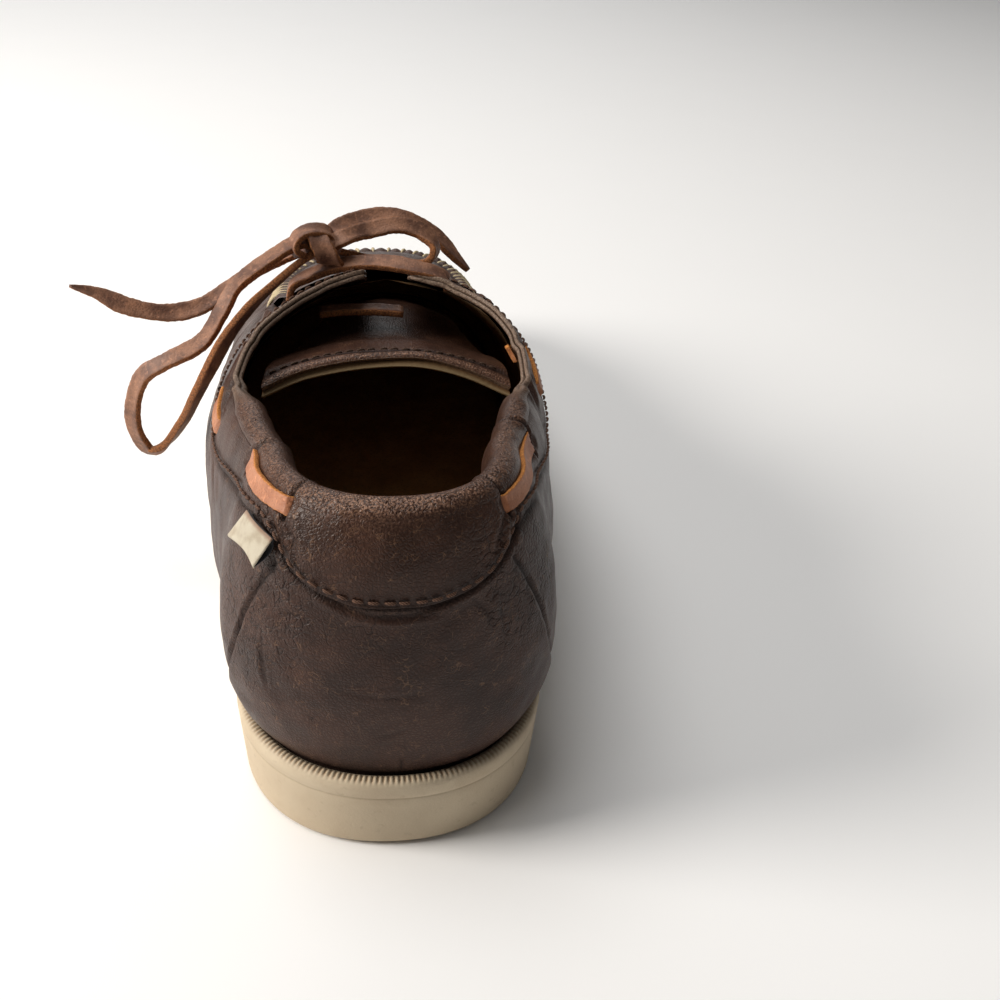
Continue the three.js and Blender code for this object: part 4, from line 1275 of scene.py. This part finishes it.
def rim_ribs(finish):
    """The fine ribs moulded across the top of the sole's rim."""
    spread = even_stations(0.0, 1.0, 1.0)
    s_table = np.linspace(0, 1, 1500)
    run_table = lengths(Station(OUTER, s_table, RIM_WIDTH).inside(1.0, 0.0))
    section = np.array(RIB_SECTION)

    def place(u, v):
        side, s = round_shoe(u, spread)
        out, level, share, shade = section[np.round(v * (len(section) - 1)).astype(int)].T
        top = Station(side, s, RIM_WIDTH).feather()
        run = np.interp(s, s_table, run_table)
        tooth = 0.5 + 0.5 * np.cos(run / RIB_PITCH * 2 * math.pi)
        tooth = np.clip(tooth * 1.6 - 0.2, 0, 1)
        points = Station(side, s, out).inside(1.0, top + level - (1 - tooth) * share * RIB_DEPTH)
        return points, {"dark": shade, "rib": share * (1 - tooth), "dirt": 0 * s}

    return grid("rim_ribs", RIB_COLUMNS, len(section) - 1, place, finish, toward(0, 0, 1))


def wall_section():
    """Rows of the wall: outward, level under the rim, share down to the floor, how dark: painted shade on
    the rim next to the leather, and a darker mould line.
    """
    rim = RIM_WIDTH
    rows = [(-0.003, -CUP_DEPTH - 0.0002, 0, 0.9), (0.0003, -CUP_DEPTH, 0, 0.9), (0.0003, -0.0012, 0, 0.8),
            (0.0006, -0.0005, 0, 0.6), (0.0011, -0.0003, 0, 0.4), (0.0022, -0.0003, 0, 0.1),
            (0.0032, -0.0004, 0, 0.0), (0.0037, -0.0007, 0, 0.1), (rim - 0.0001, -0.0012, 0, 0),
            (rim, -0.0018, 0, 0)]
    rows += [(rim, -0.0018, share, 0) for share in (0.08, 0.13)]
    rows += [(rim - 0.0001, -0.0018, 0.145, 0.15), (rim - 0.00018, -0.0018, 0.155, 0.35),
             (rim - 0.0001, -0.0018, 0.165, 0.15)]
    rows += [(rim, -0.0018, share, 0) for share in (0.18, 0.3, 0.4, 0.5, 0.6, 0.7, 0.8, 0.87, 0.92)]
    rows += [(rim - 0.0001, -0.0018, 0.955, 0), (rim - 0.0004, -0.0018, 0.98, 0),
             (rim - 0.0009, -0.0018, 0.99, 0), (rim - 0.004, -0.0018, 1, 0)]
    return rows


WALL_SECTION = wall_section()
SOLE_ROWS = len(WALL_SECTION) - 1

SIPE_PITCH = 0.0056
SIPE_WIDTH = 0.0009
SIPE_DEPTH = 0.0014
WAVE_HEIGHT = 0.0022
WAVE_LENGTH = 0.018


def tread(finish):
    """Underside with wavy sipes right across, as a deck shoe has."""
    s = np.linspace(0, 1, 1500)
    outline = [Station(side, s, RIM_WIDTH - SOLE_DRAFT - 0.0008).inside(1.0, 0.0) for side in (OUTER, INNER)]
    low_y, high_y = outline[0][0, 1] + 0.0002, outline[0][-1, 1] - 0.0002
    count = int((high_y - low_y) / SIPE_PITCH)
    cuts = [0.0, (SIPE_PITCH - SIPE_WIDTH) * 0.5, SIPE_PITCH - SIPE_WIDTH, SIPE_PITCH - SIPE_WIDTH * 0.8,
            SIPE_PITCH - SIPE_WIDTH * 0.2]
    depths = [0, 0, 0, 1, 1]
    base = low_y + np.arange(count)[:, None] * SIPE_PITCH
    rows_y = np.concatenate([(base + np.array(cuts)).ravel(), [low_y + count * SIPE_PITCH, high_y]])
    rows_d = np.concatenate([np.tile(depths, count), [0, 0]]).astype(float)

    def place(u, v):
        row = np.round(v * (len(rows_y) - 1)).astype(int)
        y0, depth = rows_y[row], rows_d[row]
        across = 2 * u - 1
        limit = [np.interp(np.clip(y0, low_y, high_y), o[:, 1], o[:, 0]) for o in outline]
        x = limit[0] + (limit[1] - limit[0]) * u
        calm = np.clip(np.minimum(y0 - low_y, high_y - y0) / 0.012, 0, 1)
        y = y0 + WAVE_HEIGHT * calm * np.sin(x / WAVE_LENGTH * 2 * math.pi)
        limit = [np.interp(np.clip(y, low_y, high_y), o[:, 1], o[:, 0]) for o in outline]
        x = np.clip(x, limit[0] + 0.0001, limit[1] - 0.0001)
        rim = np.clip((1 - np.abs(across)) / 0.1, 0, 1)
        rim = np.clip(rim * 4 - 1, 0, 1)
        frame_line = hump(1 - np.abs(across), 0.1, 0.012)
        cut = np.maximum(depth * rim, frame_line * calm)
        z = column(GROUND, "z", y) + 0.00004 + SIPE_DEPTH * cut
        points = np.stack([x, y, z], axis=-1)
        # the sipes and the frame line are painted dark: painted shade
        return points, {"dark": cut, "dirt": 0.6 + 0.4 * lumps(points, 0.03, 22)}

    return grid("tread", 120, len(rows_y) - 1, place, finish, toward(0, 0, -1))


def footbed(finish):
    spread = even_stations(0.0, 1.0, 1.0)

    def place(u, v):
        side, s = round_shoe(u, spread)
        here = Station(side, s, -0.0023)
        z = here.feather(v) - CUP_DEPTH + 0.0035 + 0.0014 * v ** 6
        points = here.inside(v, z)
        points[:, 2] += 0.0002 * lumps(points, 0.02, 31)
        # painted shade round the footbed's edge, where it meets the lining
        return points, {"dark": np.clip(v * 10 - 9.2, 0, 1)}

    return grid("footbed", 160, 40, place, finish, toward(0, 0, 1))


# ------------------------------------------------------------------- side label

# Corners of its outer face: at the seam, front then rear, and at the fold, rear then front.
LABEL_FACE = [(-0.0304, -0.0145, 0.0756), (-0.0247, -0.0258, 0.0757), (-0.0286, -0.0275, 0.0699),
              (-0.0347, -0.0137, 0.0688)]
LABEL_THICKNESS = 0.0003
LABEL_GAP = 0.0014                 # between its two layers


def label(finish):
    """A woven label folded in half, caught in the seam under the collar band."""
    seam_front, seam_rear, fold_rear, fold_front = np.array(LABEL_FACE)
    out = unit(np.cross(seam_rear - fold_front, seam_front - fold_rear))

    def place(u, v):
        down = 1 - np.abs(1 - 2 * v)
        u1, down1 = u[:, None], down[:, None]
        seam = seam_front + (seam_rear - seam_front) * u1
        fold = fold_front + (fold_rear - fold_front) * u1
        points = seam + (fold - seam) * down1 * (1 - 0.14 * np.sin(math.pi * u1))
        bow = 0.0008 * np.sin(math.pi * u) + 0.0003 * down * np.sin(2 * math.pi * u + 1)
        back = LABEL_GAP * np.clip(np.sin(math.pi * np.clip(down, 0.06, 0.97) ** 0.8), 0.15, 1)
        points = points + out * np.where(v < 0.5, bow, bow - back)[:, None]
        # under marks the folded back layer, which is painted dark as painted shade
        return points, {"under": np.clip((v - 0.5) * 30, 0, 1), "u": u, "v": v}

    piece = grid("side_label", 30, 48, place, finish, toward(-1, -0.5, 0))
    thicken(piece, LABEL_THICKNESS, 0)
    return piece


# ------------------------------------------------------------------- finishes


class Wire:
    """A shader value that can be written into sums."""

    def __init__(self, finish, socket):
        self.finish, self.socket = finish, socket

    def _math(self, operation, *values):
        return self.finish.node("ShaderNodeMath", {"operation": operation}, dict(enumerate(values)))

    def __add__(self, other):
        return self._math("ADD", self, other)

    __radd__ = __add__

    def __mul__(self, other):
        return self._math("MULTIPLY", self, other)

    __rmul__ = __mul__

    def __sub__(self, other):
        return self._math("SUBTRACT", self, other)

    def __rsub__(self, other):
        return self._math("SUBTRACT", other, self)

    def over(self, low, high):
        """0 where the value is low, 1 where it is high."""
        inputs = {"Value": self, "From Min": low, "From Max": high}
        return self.finish.node("ShaderNodeMapRange", {"interpolation_type": "SMOOTHSTEP"}, inputs)


class Finish:
    """A material, its nodes added one by one."""

    def __init__(self, name, specular, sheen=0.0):
        self.material = bpy.data.materials.new(name)
        self.material.use_nodes = True
        self.tree = self.material.node_tree
        self.shader = self.tree.nodes["Principled BSDF"]
        self.shader.inputs["Specular IOR Level"].default_value = specular
        self.shader.inputs["Sheen Weight"].default_value = sheen
        self.shader.inputs["Sheen Roughness"].default_value = 0.45
        self.place = self.node("ShaderNodeTexCoord", {}, {}, "Object")

    def node(self, kind, settings, inputs, output=0):
        made = self.tree.nodes.new(kind)
        for key, value in settings.items():
            setattr(made, key, value)
        for key, value in inputs.items():
            socket = made.inputs[key]
            if isinstance(value, Wire):
                self.tree.links.new(value.socket, socket)
            else:
                socket.default_value = value
        return Wire(self, made.outputs[output])

    def attribute(self, name):
        return self.node("ShaderNodeAttribute", {"attribute_name": name}, {}, "Fac")

    def noise(self, size, detail=3.0, roughness=0.5, distortion=0.0, vector=None):
        """Soft noise whose blobs are about size across."""
        inputs = {"Vector": vector or self.place, "Scale": 1 / size, "Detail": detail,
                  "Roughness": roughness, "Distortion": distortion}
        return self.node("ShaderNodeTexNoise", {}, inputs, 0)

    def cells(self, size, feature="DISTANCE_TO_EDGE", vector=None):
        inputs = {"Vector": vector or self.place, "Scale": 1 / size}
        return self.node("ShaderNodeTexVoronoi", {"feature": feature}, inputs, "Distance")

    def warped(self, size, amount):
        """The place, pushed about by noise, so that a pattern isn't regular."""
        inputs = {"Vector": self.place, "Scale": 1 / size, "Detail": 2.0}
        push = self.node("ShaderNodeTexNoise", {}, inputs, "Color")
        inputs = {0: push, 1: (amount, amount, amount), 2: self.place}
        return self.node("ShaderNodeVectorMath", {"operation": "MULTIPLY_ADD"}, inputs)

    def mix(self, share, a, b):
        """Colour a where share is 0 and b where it is 1."""
        a, b = [(*c, 1) if isinstance(c, tuple) and len(c) == 3 else c for c in (a, b)]
        inputs = {0: share, 6: a, 7: b}
        return self.node("ShaderNodeMix", {"data_type": "RGBA"}, inputs, 2)

    def bump(self, height, distance, strength=1.0, below=None):
        inputs = {"Height": height, "Distance": distance, "Strength": strength}
        if below:
            inputs["Normal"] = below
        return self.node("ShaderNodeBump", {}, inputs)

    def paint(self, colour, roughness, normal=None):
        for key, value in (("Base Color", colour), ("Roughness", roughness), ("Normal", normal)):
            if value is not None:
                self.tree.links.new(value.socket, self.shader.inputs[key])
        return self.material


def tone(red, green, blue):
    """A colour given as it looks, 0 to 255, for the shader."""
    shares = [c / 255 for c in (red, green, blue)]
    return tuple(c / 12.92 if c <= 0.04045 else ((c + 0.055) / 1.055) ** 2.4 for c in shares)


def strands(finish, size, width, seed):
    """Short thin curls, like hairline scuffs and fine creases."""
    inputs = {"Vector": finish.place, "Location": (seed, 2 * seed, 3 * seed)}
    moved = finish.node("ShaderNodeMapping", {}, inputs)
    level = finish.noise(size, 1.5, 0.4, 0.4, vector=moved)
    off = finish.node("ShaderNodeMath", {"operation": "ABSOLUTE"}, {0: level - 0.5})
    return 1 - off.over(width * 0.4, width)


def upper_leather(name, base, lit, roughness):
    """Oiled full-grain leather: fine grain, nets of wrinkles, pale scuffs, dark seams, painted shade in
    creases and hollows, and painted highlights on ridges.
    """
    finish = Finish(name, specular=0.22)
    warped = finish.warped(0.003, 0.001)
    pebbles = finish.cells(0.00085, vector=warped).over(0.0, 0.3)
    fine = finish.noise(0.0005, 3.0, 0.6)
    folds = finish.noise(0.003, 4.0, 0.62, 0.6)
    patches = finish.noise(0.022, 4.0, 0.6)
    clouds = finish.noise(0.0065, 3.0, 0.55)
    dark, wear_and_highlight, web = [finish.attribute(key) for key in ("dark", "wear_and_highlight", "web")]
    bent = finish.warped(0.004, 0.0035)
    cracks = 1 - finish.cells(0.0021, vector=bent).over(0.0, 0.13)
    net = cracks * web.over(0.15, 0.85) * folds.over(0.4, 0.6)
    broken = finish.noise(0.0036, 2.0).over(0.49, 0.6)
    scuffs = (strands(finish, 0.0034, 0.013, 0.7) + strands(finish, 0.0022, 0.012, 1.9)) * broken
    veins = strands(finish, 0.006, 0.01, 3.1) * clouds.over(0.5, 0.62)
    colour = finish.mix(patches.over(0.35, 0.68), base, lit)
    colour = finish.mix(clouds.over(0.45, 0.7) * 0.3, colour, tuple(c * 1.4 for c in lit))
    colour = finish.mix((1 - pebbles) * 0.4, colour, tuple(c * 0.5 for c in base))
    # lighter where worn, and painted highlight on ridges, the collar's crest and the tongue's edge
    colour = finish.mix(wear_and_highlight * wear_and_highlight * fine.over(0.4, 0.7) * 0.75, colour, tone(172, 132, 108))
    colour = finish.mix(scuffs * 0.34, colour, tone(126, 94, 70))
    colour = finish.mix(veins * 0.5, colour, tuple(c * 0.35 for c in base))
    colour = finish.mix(net * 0.62, colour, tuple(c * 0.4 for c in base))
    # darker at seams, and painted shade in creases, pleats, slits, eyelets and along the foot of the upper
    colour = finish.mix(dark * 0.85, colour, tone(18, 10, 8))
    rough = (clouds * 0.25 + roughness - 0.14) - wear_and_highlight * 0.08 + dark * 0.25
    grain = pebbles * 0.5 + fine * 0.35
    coarse = finish.bump(patches * 0.6 + folds * (0.25 + web * 0.8) - net * 1.5 - veins * 0.6, 0.0005, 0.5)
    return finish, finish.paint(colour, rough, finish.bump(grain, 0.0002, 0.62, coarse))


def band_leather():
    """The same leather, with the facing's bare cut edges."""
    finish, material = upper_leather("band leather", tone(52, 33, 25), tone(75, 50, 39), 0.42)
    cut = finish.attribute("cut")
    old = finish.shader.inputs["Base Color"].links[0].from_socket
    fibres = finish.noise(0.0006, 4.0, 0.7)
    raw = finish.mix(fibres.over(0.3, 0.7), tone(92, 74, 62), tone(150, 128, 110))
    colour = finish.mix(cut * 0.85, Wire(finish, old), raw)
    colour = finish.mix(finish.attribute("dark") * cut, colour, tone(22, 14, 11))
    finish.tree.links.new(colour.socket, finish.shader.inputs["Base Color"])
    return material


def lace_leather(name, *colours):
    """Rawhide lace: a waxed grain side and rough cut edges."""
    grain, lit, raw, raw_lit = [tone(*colour) for colour in colours]
    finish = Finish(name, specular=0.45)
    cut = finish.attribute("cut")
    fibres = finish.noise(0.0005, 4.0, 0.7)
    pores = finish.cells(0.0006, "F1")
    tones = finish.noise(0.006, 3.0, 0.6)
    bands = finish.noise(0.0016, 3.0, 0.6)
    top = finish.mix(tones.over(0.3, 0.7), grain, lit)
    top = finish.mix(bands.over(0.52, 0.72) * 0.5, top, tuple(c * 1.6 for c in lit))
    top = finish.mix((1 - pores.over(0.1, 0.5)) * 0.35, top, tuple(c * 0.5 for c in grain))
    side = finish.mix(fibres.over(0.3, 0.72), raw, raw_lit)
    edge = (cut + fibres * 0.5).over(0.55, 1.05)
    colour = finish.mix(edge, top, side)
    rough = 0.5 + cut * 0.3 + tones * 0.1
    height = fibres * (0.3 + cut * 0.7) + pores * 0.3
    return finish.paint(colour, rough, finish.bump(height, 0.00035, 0.7))


def sole_rubber():
    finish = Finish("sole rubber", specular=0.35)
    grain = finish.noise(0.0006, 3.0, 0.6)
    clouds = finish.noise(0.014, 4.0, 0.6)
    specks = finish.noise(0.0022, 2.0, 0.5)
    dark, dirt, rib = finish.attribute("dark"), finish.attribute("dirt"), finish.attribute("rib")
    colour = finish.mix(clouds.over(0.3, 0.7), tone(190, 172, 146), tone(203, 187, 161))
    colour = finish.mix(dirt * clouds.over(0.4, 0.75) * 0.35, colour, tone(158, 138, 112))
    colour = finish.mix(specks.over(0.62, 0.75) * 0.18, colour, tone(130, 110, 88))
    # dark: painted shade next to the leather and in the sipes, and the darker mould line
    colour = finish.mix(dark * 0.6, colour, tone(98, 76, 54))
    colour = finish.mix(rib * 0.42, colour, tone(146, 104, 58))
    rough = 0.62 + grain * 0.2
    return finish.paint(colour, rough, finish.bump(grain * 0.6 + specks * 0.4, 0.00018, 0.6))


def inner_leather(name, *colours):
    """Plain leather of the inside, its cut edge in a colour of its own."""
    base, lit, edge_colour = [tone(*colour) for colour in colours]
    finish = Finish(name, specular=0.25)
    grain = finish.noise(0.0008, 3.0, 0.6)
    clouds = finish.noise(0.018, 4.0, 0.6)
    pores = finish.cells(0.0011, "F1")
    colour = finish.mix(clouds.over(0.3, 0.7), base, lit)
    colour = finish.mix((1 - pores.over(0.15, 0.5)) * 0.35, colour, tuple(c * 0.6 for c in base))
    colour = finish.mix(finish.attribute("edge"), colour, edge_colour)
    # dark: painted shade round the footbed's edge, and the darker stitch groove of the tongue's lining
    colour = finish.mix(finish.attribute("dark") * 0.7, colour, tuple(c * 0.4 for c in base))
    return finish.paint(colour, 0.72 + grain * 0.15, finish.bump(grain * 0.6 + pores * 0.5, 0.0002, 0.6))


def thread(name, *colours):
    base, lit = [tone(*colour) for colour in colours]
    finish = Finish(name, specular=0.3)
    twist = finish.node("ShaderNodeTexWave", {"wave_type": "BANDS", "bands_direction": "DIAGONAL"},
                        {"Vector": finish.place, "Scale": 900.0, "Distortion": 1.5}, "Fac")
    clouds = finish.noise(0.004, 2.0)
    colour = finish.mix(twist.over(0.2, 0.8) * 0.7 + clouds * 0.3, base, lit)
    return finish.paint(colour, 0.7 + twist * 0.1, finish.bump(twist, 0.0002, 0.8))


def label_cloth():
    """Close plain weave; the face is bare and the folded back is painted dark, as painted shade behind the
    face.
    """
    finish = Finish("label cloth", specular=0.2, sheen=0.2)
    u, v = finish.attribute("u"), finish.attribute("v")
    warp = finish.node("ShaderNodeMath", {"operation": "SINE"}, {0: u * (2 * math.pi * 34)})
    weft = finish.node("ShaderNodeMath", {"operation": "SINE"}, {0: v * (2 * math.pi * 62)})
    weave = (warp * weft) * 0.5 + 0.5
    clouds = finish.noise(0.003, 3.0)
    colour = finish.mix(clouds.over(0.35, 0.7), tone(226, 216, 194), tone(198, 182, 156))
    colour = finish.mix((1 - weave) * 0.35, colour, tone(140, 128, 108))
    colour = finish.mix((1 - v.over(0.02, 0.09)) * 0.7, colour, tone(150, 106, 84))
    # painted shade on the folded back layer
    colour = finish.mix(finish.attribute("under"), colour, tone(38, 38, 42))
    return finish.paint(colour, 0.8 + weave * 0.1, finish.bump(weave, 0.0002, 0.8))


def floor_finish():
    finish = Finish("floor", specular=0.1)
    haze = finish.noise(0.05, 2.0)
    colour = finish.mix(haze, (0.93, 0.93, 0.93), (0.94, 0.94, 0.94))
    return finish.paint(colour, 0.9 + haze * 0.05)


# -------------------------------------------------------------- light and floor


def add_floor():
    bm = bmesh.new()
    bmesh.ops.create_grid(bm, x_segments=8, y_segments=8, size=3.0)
    mesh = bpy.data.meshes.new("floor")
    bm.to_mesh(mesh)
    bm.free()
    mesh.materials.append(floor_finish())
    floor = bpy.data.objects.new("floor", mesh)
    bpy.context.collection.objects.link(floor)


def soft_light(name, at, aim, size, power, colour=(1, 1, 1)):
    data = bpy.data.lights.new(name, "AREA")
    data.shape = "DISK"
    data.size = size
    data.energy = power
    data.color = colour
    light = bpy.data.objects.new(name, data)
    light.location = at
    light.rotation_euler = (Vector(aim) - Vector(at)).to_track_quat("-Z", "Y").to_euler()
    bpy.context.collection.objects.link(light)


def add_light():
    world = bpy.data.worlds.new("studio")
    world.use_nodes = True
    world.node_tree.nodes["Background"].inputs["Color"].default_value = (1, 1, 1, 1)
    world.node_tree.nodes["Background"].inputs["Strength"].default_value = 0.11
    bpy.context.scene.world = world
    soft_light("key", (-1.15, 0.0, 0.64), (0.0, 0.05, 0.05), 0.6, 18.5, (1.0, 0.95, 0.89))
    soft_light("top", (-0.35, 0.2, 1.4), (0.0, 0.08, 0.05), 1.0, 10.0, (1.0, 0.98, 0.95))
    soft_light("window", (-0.3, 1.5, 0.95), (0.0, 0.05, 0.07), 1.3, 6.0)
    bpy.context.scene.view_settings.view_transform = "Standard"


# --------------------------------------------------------------------- the shoe


def dress(piece, node=None):
    """Hides the solid that a piece is the surface of, where it has one."""
    if node:
        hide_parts(node)
    return piece


# Route, whether both its ends run into the knot, where it narrows, and what its far end is.
BOW = {
    "loop_left": (LOOP_LEFT, True, (0, 0), "object"),
    "loop_right": (LOOP_RIGHT, True, (0, 0), "object"),
    "end_left": (END_LEFT, False, (0, 0.012), "bare"),
    "end_right": (END_RIGHT, False, (0, 0.008), "bare"),
}


def make_bow(finish):
    """The knot with its two loops and two ends, each a free lace that starts at the knot."""
    made = {}
    for seed, (name, (route, both, tips, _)) in enumerate(BOW.items(), 1):
        made[name] = lace(name, into_knot(route, both), finish, seed, tips=tips)
        dress(made[name][0], f"lace_{name}")
    knots = [dress(piece, "lace_knot") for piece in knot(finish)]
    for name, (piece, middle, total) in made.items():
        knots if name == "loop_left" else []


def sew():
    """All the seams' threads."""
    brown = thread("brown thread", (64, 42, 31), (118, 86, 68))
    cream = thread("cream thread", (176, 156, 120), (224, 208, 172))
    dark = thread("dark thread", (44, 30, 22), (84, 60, 44))
    line, normals = band_line(0.0013, 0.112, BAND_PROUD + 0.0002)
    stitch_row("band_stitches", line, normals, brown, *BAND_SEWING)
    for side, word in ((OUTER, "outer"), (INNER, "inner")):
        line, normals = facing_line(side, 0.064, 0.003, BAND_PROUD + 0.0003)
        stitch_row(f"facing_stitches_{word}", line, normals, brown, *FACING_SEWING)
    across = np.linspace(-0.97, 0.97, 90)
    line = tongue_point(TONGUE_SEAM + 0 * across, across, -0.0002)
    normals = np.tile([0.0, -0.2, 1.0], (len(across), 1))
    stitch_row("tongue_stitches", line, normals, dark, *TONGUE_SEWING)
    moc_stitches(cream)


def build():
    grain = upper_leather("upper leather", tone(52, 34, 27), tone(75, 51, 41), 0.44)[1]
    band_finish = band_leather()
    lace_brown = lace_leather("lace leather", (96, 62, 46), (150, 106, 80), (84, 48, 26), (176, 112, 62))
    lace_tan = lace_leather("lace leather tan", (150, 92, 60), (178, 120, 86), (150, 84, 34), (216, 146, 72))
    rubber = sole_rubber()
    lining_finish = inner_leather("lining leather", (128, 98, 66), (156, 122, 86), (136, 118, 88))
    bed_finish = inner_leather("footbed leather", (156, 124, 84), (182, 148, 104), (156, 124, 84))

    dress(quarters(grain), "upper")
    collar = dress(band(band_finish), "collar_pad")
    dress(lining(lining_finish))
    dress(apron(band_finish), "apron")
    dress(tongue("tongue_leather", band_finish, 0.0, 0.0, TONGUE_THICKNESS), "tongue")
    dress(tongue("tongue_lining", lining_finish, *TONGUE_LINING))
    sew()

    make_bow(lace_brown)
    dress(lace("bar_top", BAR_TOP, lace_brown, 6)[0], "lace_bar_top")
    dress(lace("bar_under", BAR_UNDER, lace_brown, 7)[0], "lace_bar_under")
    for seed, (name, *span) in enumerate(WINDOWS, 8):
        route = window_route(*span)
        piece = lace(name, route, lace_tan, seed, WINDOW_WIDTH, WINDOW_THICKNESS, sink=span[0])[0]
        dress(piece, f"lace_{name}")

    dress(sole(rubber), "outsole")
    dress(rim_ribs(rubber))
    dress(tread(rubber))
    dress(footbed(bed_finish), "insole")
    tab = dress(label(label_cloth()), "side_tab")


add_camera()
add_light()
add_floor()
build()
